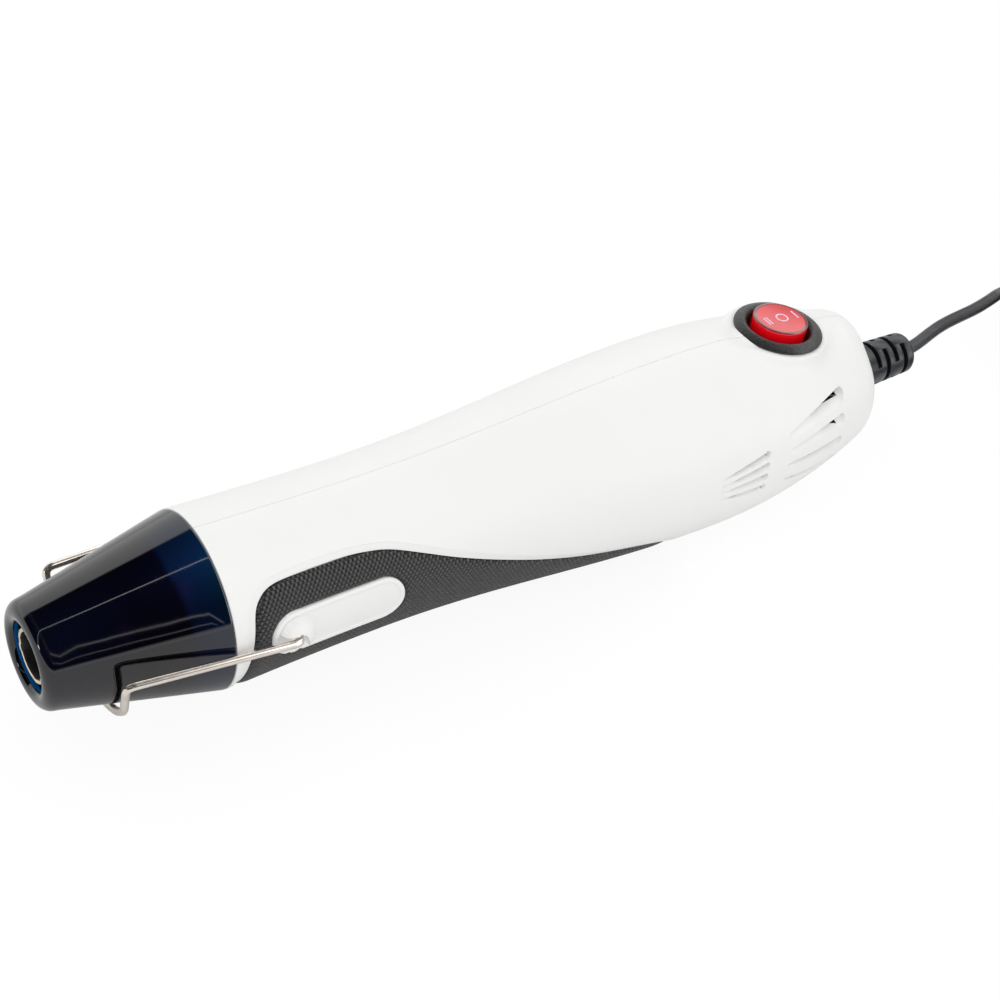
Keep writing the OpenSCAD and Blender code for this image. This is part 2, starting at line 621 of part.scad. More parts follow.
// Stand: one bent wire. Its ends turn in through the pads, and its front hangs under the nozzle.
bail_low = -17;
bail_path = rounded([
    [pivot_x, -arm_y + 2, pivot_z], [pivot_x, -arm_y, pivot_z], [bail_x, -bail_half, 3],
    [bail_x + 1.1, -17.3, -7.4], [bail_x + 1.5, -12.8, -11.8], [bail_x + 2.2, -7.5, -15.3],
    [bail_x + 2.4, -3.5, bail_low], [bail_x + 2.4, 3.5, bail_low],
    [bail_x + 2.2, 7.5, -15.3], [bail_x + 1.5, 12.8, -11.8], [bail_x + 1.1, 17.3, -7.4],
    [bail_x, bail_half, 3],
    [pivot_x, arm_y, pivot_z], [pivot_x, arm_y - 2, pivot_z]
], 1.7, 5);
module stand_wire() color("silver") place() {
    tube(bail_path, wire_r - 0.01, 12, [1, 0, 0]);
    for (s = [-1, 1]) cross_pin(pivot_x, pivot_z, s < 0 ? -arm_y + 1.75 : barrel_r + 4,
        s < 0 ? -barrel_r - 4 : arm_y - 1.75, wire_r);
}

// Strain relief: a grooved root in the tail's wall, then a taper with staggered slots.
relief_tip_r = relief_r - 0.8;
module strain_relief() color("#1c1c1e") place() difference() {
    turned([[cord_d / 2 + run_fit, body_end - wall - 2], [relief_hole_r + 1.2, body_end - wall - 2],
        [relief_hole_r + 1.2, body_end - wall - loose], [relief_hole_r, body_end - wall - loose],
        [relief_hole_r, body_end + loose], [relief_r, body_end + loose],
        [relief_tip_r, overall - 4], [relief_tip_r, overall - 0.8], [relief_tip_r - 0.8, overall],
        [cord_d / 2 + run_fit, overall]]);
    for (i = [0 : 3]) translate([body_end + 3.2 + 3.4 * i, 0, 0]) rotate([i % 2 * 90, 0, 0])
        for (s = [-1, 1]) translate([0, -8, s > 0 ? 2.9 : -10.9]) cube([1.5, 16, 8]);
}
cord_in_x = switch_x + 9;
module cord_inner() color("#1c1c1e") place() rod(cord_in_x, overall - cord_in_x, cord_d / 2);
// Cord clamp: a bar over the cord, screwed to two posts of the right shell.
clamp_w = 5;
clamp_half = 8.2;
clamp_screw_z = 5.2;
clamp_y = cord_d / 2 + 2.2;
clamp_screw_r = 1.1;
module clamp_posts() for (s = [-1, 1])
    cross_pin(clamp_x + clamp_w / 2, s * clamp_screw_z, 1.2, 40, 2.4);
module clamp_pilots() for (s = [-1, 1])
    cross_pin(clamp_x + clamp_w / 2, s * clamp_screw_z, 0, 9, clamp_screw_r + run_fit);
module cord_clamp() color("ivory") place() difference() {
    translate([clamp_x, -clamp_y, -clamp_half]) cube([clamp_w, clamp_y + 1, 2 * clamp_half]);
    rod(clamp_x - 1, clamp_w + 2, cord_d / 2 + run_fit);
    translate([clamp_x - 1, 0, -cord_d / 2 - run_fit]) cube([clamp_w + 2, 5, cord_d + 2 * run_fit]);
    for (s = [-1, 1]) cross_pin(clamp_x + clamp_w / 2, s * clamp_screw_z, -20, 20, clamp_screw_r + loose);
}
module clamp_screws() color("silver") place() for (s = [-1, 1])
    translate([clamp_x + clamp_w / 2, -clamp_y, s * clamp_screw_z]) rotate([90, 0, 0]) {
        cylinder(h = 1.4, r = 2.1);
        translate([0, 0, -11]) cylinder(h = 11, r = clamp_screw_r);
    }

// Wires inside the body. The live core ends at the middle terminal and the neutral core runs on to the
// board, with a wire from each outer terminal beside it. They pass under the fan and the motor.
wire_core_r = 0.8;
wire_gap = 2.4;
function tab_end(i, y) = [switch_x + i * tab_pitch * cos(seat_tilt) - (switch_depth + 6) * sin(seat_tilt), y,
    seat_z - i * tab_pitch * sin(seat_tilt) - (switch_depth + 6) * cos(seat_tilt) - loose];
function wire_at(x, y) = [x, y, wall + 1.6 - body_r(x)];
function wire_run(y) = [[switch_x - 30, y, -19], wire_at(fan_x + fan_w + 2, y), wire_at(fan_x - 1, y),
    wire_at(cap_x, y), wire_at(motor_x + 16, y), wire_at(motor_x + 4, y), [motor_x - 4, y, -15.2],
    [board_x + 16, y, board_z - 3.4], [board_x + 8, y, board_z - 2.6], [board_x + 4.5, y, board_z - 0.9]];
live_path = [[cord_in_x, 0, 0.9], [cord_in_x - 3.7, 0, 0.9], [switch_x + 0.8, 0, 1], [switch_x - 1.2, 0, 2],
    tab_end(0, 0)];
neutral_path = concat([[cord_in_x, 0, -0.9], [cord_in_x - 4.7, 0, -1.3], [switch_x - 5.7, 0, -5],
    [switch_x - 17.7, 0, -11]], wire_run(0));
front_tab_path = concat([tab_end(-1, -1.6), tab_end(-1, -1.6) - [0, 0, 1.5], [switch_x - 8, -wire_gap, -1],
    [switch_x - 13.7, -wire_gap, -8]], wire_run(-wire_gap));
rear_tab_path = concat([tab_end(1, 1.6), tab_end(1, 1.6) - [0, 0, 1.5], [switch_x + 3.6, wire_gap, -2],
    [switch_x - 3.7, wire_gap, -6], [switch_x - 15.7, wire_gap, -11.5]], wire_run(wire_gap));
module supply_wires() color("saddlebrown") place() for (path = [live_path, neutral_path])
    tube(smooth(path, 3), wire_core_r, 6, [0, 1, 0]);
module heater_wires() color("firebrick") place() for (path = [front_tab_path, rear_tab_path])
    tube(smooth(path, 3), wire_core_r, 6, [1, 0, 0]);

// Cord: the free stretch droops to the table, then the spare length lies in a coil with the plug beside it.
// Points are measured from the end of the strain relief in x and y, and from the table in height.
cord_r = cord_d / 2;
lead_points = [[0, 0, 25.8], [4, 0.2, 25.8], [8.6, 1.2, 25.7], [14, 3.1, 25.2], [20.6, 5.3, 24.5],
    [28.4, 7.6, 23.2], [41.5, 11, 20.8], [51.2, 14.3, 18.8], [58.8, 17.4, 16.8], [68, 21, 13.4],
    [77, 24, 9.4], [84.5, 26.2, 5.5], [90.5, 27.2, 3.3], [96, 27.5, 2.7]];
end_points = [[125.4, -9, 14.4], [123, -20, 11.4], [117, -30.5, 7.8], [108, -38.8, 5.6],
    [99, -43.6, 5.6], [92, -45, 6.5], [86, -45, 6.8]];
module in_cord_frame() translate([overall / 2, 0, 0]) children();
lead_path = smooth(lead_points, 2);
module cord_lead() color("#1c1c1e") in_cord_frame() tube(lead_path, cord_r, 8, [0, 0, 1]);

// The coil winds clockwise in four layers: inwards, outwards, inwards and outwards again, and it climbs
// a layer in each half turn where it turns back.
coil_layers = 4;
coil_turns = 10.25;
loop_rings = 24;
coil_pitch = cord_d + coil_gap;
layer_angle = 360 * coil_turns / coil_layers;
coil_half = coil_pitch * coil_turns / coil_layers / 2;
coil_at = lead_points[len(lead_points) - 1] + [cord_d, -coil_r - coil_half, 0];
function ramp(t) = let (u = max(0, min(1, t))) u * u * (3 - 2 * u);
function coil_radius(a) = let (k = floor(a / layer_angle), t = a / layer_angle - k)
    coil_r + coil_half * (k % 2 == 0 ? 1 - 2 * t : 2 * t - 1);
function coil_rise(a) = [for (k = [1 : coil_layers - 1]) ramp((a - k * layer_angle + 90) / 180)]
    * [for (k = [1 : coil_layers - 1]) coil_pitch];
coil_loops = [for (i = [0 : coil_turns * loop_rings])
    let (a = min(360 * i / loop_rings, 360 * coil_turns - 0.001))
    coil_at + [coil_radius(a) * sin(a), coil_radius(a) * cos(a), coil_rise(a)]];
coil_path = concat([coil_loops[0] - [cord_d, 0, 0]], coil_loops,
    [coil_loops[len(coil_loops) - 1] - [0, cord_d, 0]]);
coil_gaps = [for (i = [0 : len(coil_loops) - 1], j = [i + loop_rings / 2 : len(coil_loops) - 1])
    norm(coil_loops[j] - coil_loops[i]) - cord_d];
end_path = smooth(concat([coil_path[len(coil_path) - 1]], end_points), 2);
function path_length(pts) = let (steps = [for (i = [1 : len(pts) - 1]) norm(pts[i] - pts[i - 1])])
    steps * [for (s = steps) 1];
echo(least_gap_in_coil = min(coil_gaps));
echo(cord_lengths = [path_length(lead_path), path_length(coil_path), path_length(end_path)]);
module cord_coil() color("#1c1c1e") in_cord_frame() tube(coil_path, cord_r, 6, [0, 0, 1]);
module cord_end() color("#1c1c1e") in_cord_frame() tube(end_path, cord_r, 8, [0, 0, 1]);
// A strap around the whole bundle, which lifts the coil off the table by its own thickness.
tie_w = 9;
tie_in = [2 * coil_half + cord_d + 0.4, coil_pitch * (coil_layers - 1) + cord_d + 0.4];
module cord_tie() color("#2a2a2c") in_cord_frame() translate([coil_at[0], coil_at[1], tie_t])
    rotate([0, 0, 180]) translate([coil_r - tie_in[0] / 2, tie_w / 2, 0]) rotate([90, 0, 0]) difference() {
        translate([-tie_t, -tie_t, 0]) cube([tie_in[0] + 2 * tie_t, tie_in[1] + 2 * tie_t, tie_w]);
        translate([0, 0, -1]) cube([tie_in[0], tie_in[1], tie_w + 2]);
    }

// Plug: a flat two-pin plug on its side, its pins towards -X.
plug_boot = 14;
pin_bare = 9;
pin_core_r = 1.3;
sleeve_r = pin_r - 0.3;
module at_plug() translate([overall / 2 + end_points[len(end_points) - 1][0] - plug_boot,
    end_points[len(end_points) - 1][1], plug_h / 2]) children();
module plug_body() color("#1c1c1e") at_plug() {
    hull() {
        translate([-plug_len, -plug_w / 2 + 3, -plug_h / 2 + 2]) cube([1, plug_w - 6, plug_h - 4]);
        translate([-plug_len + 2, -plug_w / 2, -2.5]) cube([13, plug_w, 5]);
        translate([-plug_len + 2, -plug_w / 2 + 6, -plug_h / 2]) cube([16, plug_w - 12, plug_h]);
        translate([-2, -7, -4.4]) cube([2, 14, 8.8]);
    }
    rotate([0, 90, 0]) cylinder(h = plug_boot, r1 = 4.2, r2 = cord_r + 0.7);
    translate([-3, 0, 0]) rotate([0, 90, 0]) cylinder(h = 3.5, r = 4.2);
}
module pins() for (s = [-1, 1]) translate([-plug_len, s * pin_pitch / 2, 0]) rotate([0, -90, 0]) children();
module plug_pins() color("silver") at_plug() pins() {
    cylinder(h = pin_len - pin_bare + 0.5, r = pin_core_r);
    translate([0, 0, pin_len - pin_bare]) cylinder(h = pin_bare - 0.8, r = pin_r);
    translate([0, 0, pin_len - 0.8]) cylinder(h = 0.8, r1 = pin_r, r2 = pin_r - 0.8);
}
module pin_sleeves() color("#1c1c1e") at_plug() pins() difference() {
    cylinder(h = pin_len - pin_bare - run_fit, r = sleeve_r);
    translate([0, 0, -1]) cylinder(h = pin_len, r = pin_core_r + press_gap);
}

left_housing();
right_housing();
housing_screws();
grip_sleeve();
nozzle_shield();
heater_barrel();
outlet_liner();
mica_liner();
mica_former();
heating_coil();
end_disc();
thermal_cutout();
motor_can();
motor_end_cap();
motor_magnets();
motor_bushes();
motor_shaft();
armature_core();
armature_windings();
commutator();
motor_brushes();
fan();
rectifier_board();
rectifier_diodes();
switch_body();
switch_terminals();
rocker_cap();
rocker_plunger();
rocker_spring();
contact_lever();
stand_wire();
strain_relief();
cord_inner();
cord_clamp();
clamp_screws();
supply_wires();
heater_wires();
cord_lead();
cord_coil();
cord_end();
cord_tie();
plug_body();
plug_pins();
pin_sleeves();
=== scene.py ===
"""Looks of a hand-held embossing heat tool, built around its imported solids."""

import json
import math

import bmesh
import bpy
import numpy as np
from mathutils import Matrix, Vector

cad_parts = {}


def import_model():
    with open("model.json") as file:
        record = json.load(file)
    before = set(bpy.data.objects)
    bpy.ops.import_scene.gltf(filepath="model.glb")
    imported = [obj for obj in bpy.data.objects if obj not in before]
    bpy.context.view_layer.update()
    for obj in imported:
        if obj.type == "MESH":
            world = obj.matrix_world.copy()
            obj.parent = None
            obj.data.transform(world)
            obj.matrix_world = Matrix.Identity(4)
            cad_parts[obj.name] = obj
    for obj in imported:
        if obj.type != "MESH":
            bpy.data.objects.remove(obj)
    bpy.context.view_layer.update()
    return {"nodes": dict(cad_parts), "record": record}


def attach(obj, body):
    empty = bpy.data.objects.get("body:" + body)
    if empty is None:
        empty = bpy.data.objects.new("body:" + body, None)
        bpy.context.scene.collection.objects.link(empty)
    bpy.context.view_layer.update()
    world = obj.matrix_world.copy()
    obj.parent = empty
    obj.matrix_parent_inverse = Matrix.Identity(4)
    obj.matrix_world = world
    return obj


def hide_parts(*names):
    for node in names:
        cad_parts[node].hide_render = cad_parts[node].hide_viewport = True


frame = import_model()

# Lengths below are in millimetres, from the nozzle's front rim along X and from the tool's axis in Z.
MM = 0.001
NOSE_X = -126.3315
AXIS_Z = 25.8


def world(points):
    """Points of the tool's own frame, in the scene's metres."""
    return (np.asarray(points, float) + [NOSE_X, 0, AXIS_Z]) * MM


def add_object(name, data):
    obj = bpy.data.objects.new(name, data)
    bpy.context.scene.collection.objects.link(obj)
    return obj


# Camera

AZIMUTH = math.radians(38.397)
ELEVATION = math.radians(40.071)
ROLL = math.radians(7.630)
DISTANCE = 475.76
AIM = np.array([121.98, 0, -2.664])
back = np.array([-math.sin(AZIMUTH) * math.cos(ELEVATION),
                 -math.cos(AZIMUTH) * math.cos(ELEVATION), math.sin(ELEVATION)])
level_right = np.cross(-back, [0, 0, 1])
level_right /= np.linalg.norm(level_right)
level_up = np.cross(level_right, -back)
cam_right = math.cos(ROLL) * level_right + math.sin(ROLL) * level_up
cam_up = -math.sin(ROLL) * level_right + math.cos(ROLL) * level_up
camera = add_object("camera", bpy.data.cameras.new("camera"))
camera.data.lens = 70.69
camera.data.sensor_width = 36
camera.data.clip_start = 0.01
camera.data.clip_end = 20
camera.matrix_world = Matrix.Translation(world(AIM + DISTANCE * back)) @ Matrix(
    [list(axes) for axes in zip(cam_right, cam_up, back)]).to_4x4()
bpy.context.scene.camera = camera
bpy.context.scene.view_settings.view_transform = "Standard"


# Mesh helpers

def make_object(name, verts, faces, materials, uvs=None, sharp=35, indices=None):
    """A smooth-shaded mesh from points in metres, with edges sharper than `sharp` degrees kept crisp."""
    mesh = bpy.data.meshes.new(name)
    mesh.from_pydata([tuple(v) for v in verts], [], [tuple(int(i) for i in f) for f in faces])
    for m in materials:
        mesh.materials.append(m)
    if indices is not None:
        mesh.polygons.foreach_set("material_index", np.asarray(indices, np.int32))
    if uvs is not None:
        layer = mesh.uv_layers.new(name="UVMap")
        loops = np.zeros(len(mesh.loops), np.int32)
        mesh.loops.foreach_get("vertex_index", loops)
        layer.data.foreach_set("uv", np.asarray(uvs, np.float32)[loops].ravel())
    mesh.polygons.foreach_set("use_smooth", np.ones(len(mesh.polygons), bool))
    mesh.set_sharp_from_angle(angle=math.radians(sharp))
    mesh.validate()
    mesh.update()
    return add_object(name, mesh)


def place_piece(obj, body, slot, *nodes):
    """Rides a piece on its body and hides the nodes that it stands for. Its finish's slot is not used."""
    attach(obj, body)
    if nodes:
        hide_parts(*nodes)
    return obj


def smooth_path(points, steps):
    """A Catmull-Rom curve through points."""
    p = np.asarray(points, float)
    out = []
    for i in range(len(p) - 1):
        a, b, c, d = p[max(i - 1, 0)], p[i], p[i + 1], p[min(i + 2, len(p) - 1)]
        for k in range(steps):
            t = k / steps
            out.append(0.5 * (2 * b + (c - a) * t + (2 * a - 5 * b + 4 * c - d) * t * t
                              + (3 * b - a - 3 * c + d) * t ** 3))
    out.append(p[-1])
    return np.array(out)


def rounded_path(points, cut, steps):
    """Straight runs whose corners are short curves that start `cut` away from them."""
    p = np.asarray(points, float)
    out = [p[0]]
    for a, b, c in zip(p, p[1:], p[2:]):
        s = b + cut * (a - b) / np.linalg.norm(a - b)
        e = b + cut * (c - b) / np.linalg.norm(c - b)
        out += [(1 - t) ** 2 * s + 2 * t * (1 - t) * b + t * t * e for t in np.linspace(0, 1, steps)]
    return np.array(out + [p[-1]])


def ring_faces(rings, count, closed=True):
    """Faces between rings of vertices, from each ring to the next and, if closed, back to the first."""
    return [[i * count + k, (i + 1) % rings * count + k,
             (i + 1) % rings * count + (k + 1) % count, i * count + (k + 1) % count]
            for i in range(rings if closed else rings - 1) for k in range(count)]


def sweep(path, section, first):
    """Vertices and faces of a section, given as [side, up] points, carried along a path."""
    p = np.asarray(path, float)
    tangents = np.gradient(p, axis=0)
    tangents /= np.linalg.norm(tangents, axis=1)[:, None]
    n = len(section)
    side = np.array(first, float)
    verts = []
    for point, tangent in zip(p, tangents):
        side = side - (side @ tangent) * tangent
        side /= np.linalg.norm(side)
        up = np.cross(tangent, side)
        verts += [point + s * side + u * up for s, u in section]
    faces = [[a, b, c, d] for a, d, c, b in ring_faces(len(p), n, closed=False)]
    faces += [list(range(n))[::-1], list(range((len(p) - 1) * n, len(p) * n))]
    return np.array(verts), faces


def circle_section(radius, count):
    angles = 2 * math.pi * np.arange(count) / count
    return [(radius * math.cos(a), radius * math.sin(a)) for a in angles]


def lathe(profile, count):
    """Vertices and faces of a closed profile of [along, radius] points turned round an axis along X."""
    prof = np.asarray(profile, float)
    a = 2 * math.pi * np.arange(count) / count
    verts = np.array([[x, r * math.sin(t), r * math.cos(t)] for x, r in prof for t in a])
    return verts, ring_faces(len(prof), count)


def arc(centre, radius, start, end, steps):
    """Points of an arc, in degrees, in a profile's plane."""
    return [[centre[0] + radius * math.cos(math.radians(a)), centre[1] + radius * math.sin(math.radians(a))]
            for a in np.linspace(start, end, steps)]


def smoothstep(t):
    t = np.clip(t, 0, 1)
    return t * t * (3 - 2 * t)


# Materials

def principled(name, colour, roughness, metallic=0.0):
    mat = bpy.data.materials.new(name)
    mat.use_nodes = True
    shader = mat.node_tree.nodes["Principled BSDF"]
    shader.inputs["Base Color"].default_value = (*colour, 1)
    shader.inputs["Roughness"].default_value = roughness
    shader.inputs["Metallic"].default_value = metallic
    return mat, mat.node_tree, shader


def coordinates(tree, kind="Object"):
    return tree.nodes.new("ShaderNodeTexCoord").outputs[kind]


def noise(tree, scale, detail=3.0, coords=None):
    node = tree.nodes.new("ShaderNodeTexNoise")
    node.inputs["Scale"].default_value = scale
    node.inputs["Detail"].default_value = detail
    tree.links.new(coords or coordinates(tree), node.inputs["Vector"])
    return node.outputs["Fac"]


def math_node(tree, operation, *values):
    node = tree.nodes.new("ShaderNodeMath")
    node.operation = operation
    for i, value in enumerate(values):
        if isinstance(value, (int, float)):
            node.inputs[i].default_value = value
        else:
            tree.links.new(value, node.inputs[i])
    return node.outputs[0]


def map_range(tree, value, low, high, to_low=0.0, to_high=1.0):
    """A value carried from one range to another, held at both ends."""
    node = tree.nodes.new("ShaderNodeMapRange")
    tree.links.new(value, node.inputs["Value"])
    node.inputs["From Min"].default_value = low
    node.inputs["From Max"].default_value = high
    node.inputs["To Min"].default_value = to_low
    node.inputs["To Max"].default_value = to_high
    return node.outputs[0]


def ramp(tree, value, stops):
    """Colours of [position, colour] stops along a value."""
    node = tree.nodes.new("ShaderNodeValToRGB")
    tree.links.new(value, node.inputs["Fac"])
    while len(node.color_ramp.elements) < len(stops):
        node.color_ramp.elements.new(0.5)
    for element, (position, colour) in zip(node.color_ramp.elements, stops):
        element.position = position
        element.color = (*colour, 1)
    return node.outputs["Color"]


def scaled(colour, factor):
    return tuple(min(1.0, c * factor) for c in colour)


def vary(tree, shader, colour, scale, amount):
    """Uneven colour: darker and paler patches of the same hue."""
    stops = [(0.3, scaled(colour, 1 - amount)), (0.7, scaled(colour, 1 + amount))]
    tree.links.new(ramp(tree, noise(tree, scale), stops), shader.inputs["Base Color"])


def vary_roughness(tree, shader, scale, low, high):
    uneven = map_range(tree, noise(tree, scale, 2.0), 0.3, 0.7, low, high)
    tree.links.new(uneven, shader.inputs["Roughness"])


def bump(tree, shader, height, distance, strength=1.0):
    node = tree.nodes.new("ShaderNodeBump")
    node.inputs["Strength"].default_value = strength
    node.inputs["Distance"].default_value = distance
    tree.links.new(height, node.inputs["Height"])
    tree.links.new(node.outputs[0], shader.inputs["Normal"])


def moulded(name, colour, roughness, amount=0.03, grain=1500, depth=0.00002):
    """Moulded plastic with slight patches and a fine grain."""
    mat, tree, shader = principled(name, colour, roughness)
    vary(tree, shader, colour, 60, amount)
    vary_roughness(tree, shader, 220, roughness * 0.85, min(1.0, roughness * 1.15))
    bump(tree, shader, noise(tree, grain, 2.0), depth)
    return mat


def metal(name, colour, roughness, stretch=(1, 1, 1)):
    """Metal with fine drawn streaks and uneven gloss."""
    mat, tree, shader = principled(name, colour, roughness, 1.0)
    mapping = tree.nodes.new("ShaderNodeMapping")
    mapping.inputs["Scale"].default_value = stretch
    tree.links.new(coordinates(tree), mapping.inputs["Vector"])
    streaks = noise(tree, 900, 4.0, mapping.outputs[0])
    colours = ramp(tree, streaks, [(0.3, scaled(colour, 0.86)), (0.7, scaled(colour, 1.1))])
    tree.links.new(colours, shader.inputs["Base Color"])
    vary_roughness(tree, shader, 300, roughness * 0.7, min(1.0, roughness * 1.4))
    bump(tree, shader, streaks, 0.000008)
    return mat


def dull_wire():
    """Warm, shining plated wire."""
    colour = (0.78, 0.71, 0.65)
    mat, tree, shader = principled("stand_steel", colour, 0.16, 0.92)
    vary(tree, shader, colour, 300, 0.05)
    vary_roughness(tree, shader, 300, 0.14, 0.19)
    bump(tree, shader, noise(tree, 900, 2.0), 0.0000015)
    return mat


def white_shell():
    colour = (0.885, 0.885, 0.868)
    mat, tree, shader = principled("white_shell", colour, 0.42)
    shader.inputs["Specular IOR Level"].default_value = 0.25
    vary(tree, shader, colour, 25, 0.012)
    vary_roughness(tree, shader, 160, 0.36, 0.48)
    bump(tree, shader, noise(tree, 2600, 1.0), 0.000012)
    return mat


def woven_rubber():
    """Black rubber whose surface is moulded as small staggered scales, with painted shade in the grooves
    between them and painted highlight on their crowns.
    """
    colour = (0.012, 0.012, 0.0122)
    mat, tree, shader = principled("woven_rubber", colour, 0.36)
    shader.inputs["Specular IOR Level"].default_value = 0.72
    split = tree.nodes.new("ShaderNodeSeparateXYZ")
    tree.links.new(coordinates(tree, "UV"), split.inputs[0])
    row = math_node(tree, "DIVIDE", split.outputs["Y"], 0.92)
    shift = math_node(tree, "MULTIPLY", math_node(tree, "MODULO", math_node(tree, "FLOOR", row), 2.0), 0.5)
    column = math_node(tree, "ADD", math_node(tree, "DIVIDE", split.outputs["X"], 1.12), shift)
    across = math_node(tree, "SINE", math_node(tree, "MULTIPLY", math_node(tree, "FRACT", row), math.pi))
    along = math_node(tree, "SINE", math_node(tree, "MULTIPLY", math_node(tree, "FRACT", column), math.pi))
    scale = math_node(tree, "POWER", math_node(tree, "MULTIPLY", across, along), 0.6)
    # Painted shade and highlight: the colour follows the scales' height, darker in the grooves and paler on
    # the crowns.
    colours = ramp(tree, scale, [(0.1, scaled(colour, 0.5)), (0.9, scaled(colour, 1.25))])
    tree.links.new(colours, shader.inputs["Base Color"])
    vary_roughness(tree, shader, 900, 0.28, 0.42)
    bump(tree, shader, scale, 0.0003)
    return mat


def shield_plastic():
    """Near-black blue plastic with painted light: a painted blue glow where the white spigot lies behind the
    translucent shield, faint painted magenta glints, faded away from the near flank.
    """
    mat, tree, shader = principled("shield_plastic", (0.002, 0.002, 0.008), 0.05)
    shader.inputs["IOR"].default_value = 1.6
    split = tree.nodes.new("ShaderNodeSeparateXYZ")
    tree.links.new(coordinates(tree), split.inputs[0])
    blotch = noise(tree, 70, 2.0)
    wander = math_node(tree, "MULTIPLY", math_node(tree, "SUBTRACT", blotch, 0.5), 0.006)
    place = math_node(tree, "ADD", split.outputs["X"], wander)
    along = map_range(tree, place, NOSE_X * MM, (NOSE_X + 40) * MM)
    # Painted light: the blue band towards the rear stands in for light from the white spigot shining through
    # the shield.
    blue = ramp(tree, along, [
        (0.0, (0.0012, 0.0016, 0.006)), (0.12, (0.0012, 0.002, 0.009)), (0.55, (0.001, 0.001, 0.006)),
        (0.74, (0.0012, 0.0015, 0.009)), (0.78, (0.002, 0.009, 0.040)), (0.92, (0.002, 0.014, 0.056)),
        (1.0, (0.0015, 0.022, 0.050))])
    # Painted glints: faint magenta specks stand in for the heater shining through the shield.
    glow = ramp(tree, noise(tree, 130, 1.0), [(0.60, (0, 0, 0)), (0.72, (0.004, 0.0, 0.006))])
    add = tree.nodes.new("ShaderNodeMix")
    add.data_type = "RGBA"
    add.blend_type = "ADD"
    add.inputs["Factor"].default_value = 1.0
    tree.links.new(blue, add.inputs["A"])
    tree.links.new(glow, add.inputs["B"])
    # The painted colour is scaled down towards the far side (+Y) and at the lowest near side, so the painted
    # light stays on the near flank.
    near = map_range(tree, split.outputs["Y"], 0.006, -0.008, 0.12)
    low = map_range(tree, split.outputs["Y"], -0.016, -0.008, 0.3)
    painted_light_fade = tree.nodes.new("ShaderNodeVectorMath")
    painted_light_fade.operation = "SCALE"
    tree.links.new(add.outputs["Result"], painted_light_fade.inputs[0])
    tree.links.new(math_node(tree, "MULTIPLY", near, low), painted_light_fade.inputs["Scale"])
    tree.links.new(painted_light_fade.outputs[0], shader.inputs["Base Color"])
    vary_roughness(tree, shader, 45, 0.035, 0.075)
    bump(tree, shader, noise(tree, 120, 1.0), 0.00002)
    return mat


def shield_inner():
    """The shield's inside, with a painted blue glow (emission) standing in for light that comes through the
    blue wall.
    """
    mat, tree, shader = principled("shield_inner", (0.003, 0.035, 0.12), 0.25)
    vary(tree, shader, (0.003, 0.035, 0.12), 90, 0.35)
    # Painted glow: emission stands in for light passing through the blue wall.
    shader.inputs["Emission Color"].default_value = (0.0, 0.05, 0.16, 1)
    shader.inputs["Emission Strength"].default_value = 0.55
    bump(tree, shader, noise(tree, 500, 2.0), 0.00003)
    return mat


def clear_red(name, colour, glow, coat=0.5):
    """Red plastic that light passes through; that light is painted as a glow (emission in the plastic's own
    colour).
    """
    mat, tree, shader = principled(name, colour, 0.14)
    vary(tree, shader, colour, 120, 0.12)
    shader.inputs["Coat Weight"].default_value = coat
    shader.inputs["Coat Roughness"].default_value = 0.05
    # Painted glow: emission in the plastic's own colour stands in for light passing through it.
    shader.inputs["Emission Color"].default_value = (*colour, 1)
    shader.inputs["Emission Strength"].default_value = glow
    bump(tree, shader, noise(tree, 300, 2.0), 0.00002)
    return mat


def cord_sheath(name, colour, roughness):
    mat, tree, shader = principled(name, colour, roughness)
    shader.inputs["Specular IOR Level"].default_value = 0.38
    vary(tree, shader, colour, 200, 0.2)
    vary_roughness(tree, shader, 250, roughness * 0.8, roughness * 1.25)
    bump(tree, shader, noise(tree, 1200, 3.0), 0.00003)
    return mat


# Colours and roughnesses, with the finishes' other values where they differ from the usual ones.
MOULDED = {
    "mica": ((0.60, 0.52, 0.38), 0.6, 0.25, 900, 0.00012),
    "carbon": ((0.03, 0.03, 0.03), 0.55, 0.2),
    "black_plastic": ((0.021, 0.021, 0.022), 0.42, 0.3, 1500, 0.00016),
    "board": ((0.05, 0.16, 0.07), 0.45, 0.15),
    "rocker_mark": ((0.88, 0.60, 0.74), 0.5, 0.05),
    "white_plastic": ((0.72, 0.72, 0.69), 0.45, 0.04),
    "wire_brown": ((0.16, 0.07, 0.035), 0.4, 0.1),
    "wire_red": ((0.42, 0.03, 0.025), 0.4, 0.1),
    "heater_dark": ((0.004, 0.004, 0.003), 0.6, 0.3),
    # vent_dark is painted shade: near-black for the dark inside behind the vents.
    "vent_dark": ((0.010, 0.009, 0.008), 0.7, 0.2),
}
METALS = {
    "heater_steel": ((0.30, 0.285, 0.26), 0.35),
    "heating_wire": ((0.24, 0.23, 0.22), 0.45),
    "cutout_metal": ((0.62, 0.62, 0.62), 0.3),
    "motor_steel": ((0.55, 0.55, 0.56), 0.32, (1, 8, 8)),
    "magnet": ((0.12, 0.12, 0.12), 0.55),
    "bronze": ((0.60, 0.42, 0.22), 0.35),
    "copper": ((0.72, 0.36, 0.20), 0.3),
    "contact_brass": ((0.72, 0.56, 0.28), 0.28),
    "screw_steel": ((0.58, 0.58, 0.59), 0.3),
    "pin_metal": ((0.70, 0.69, 0.64), 0.22),
}
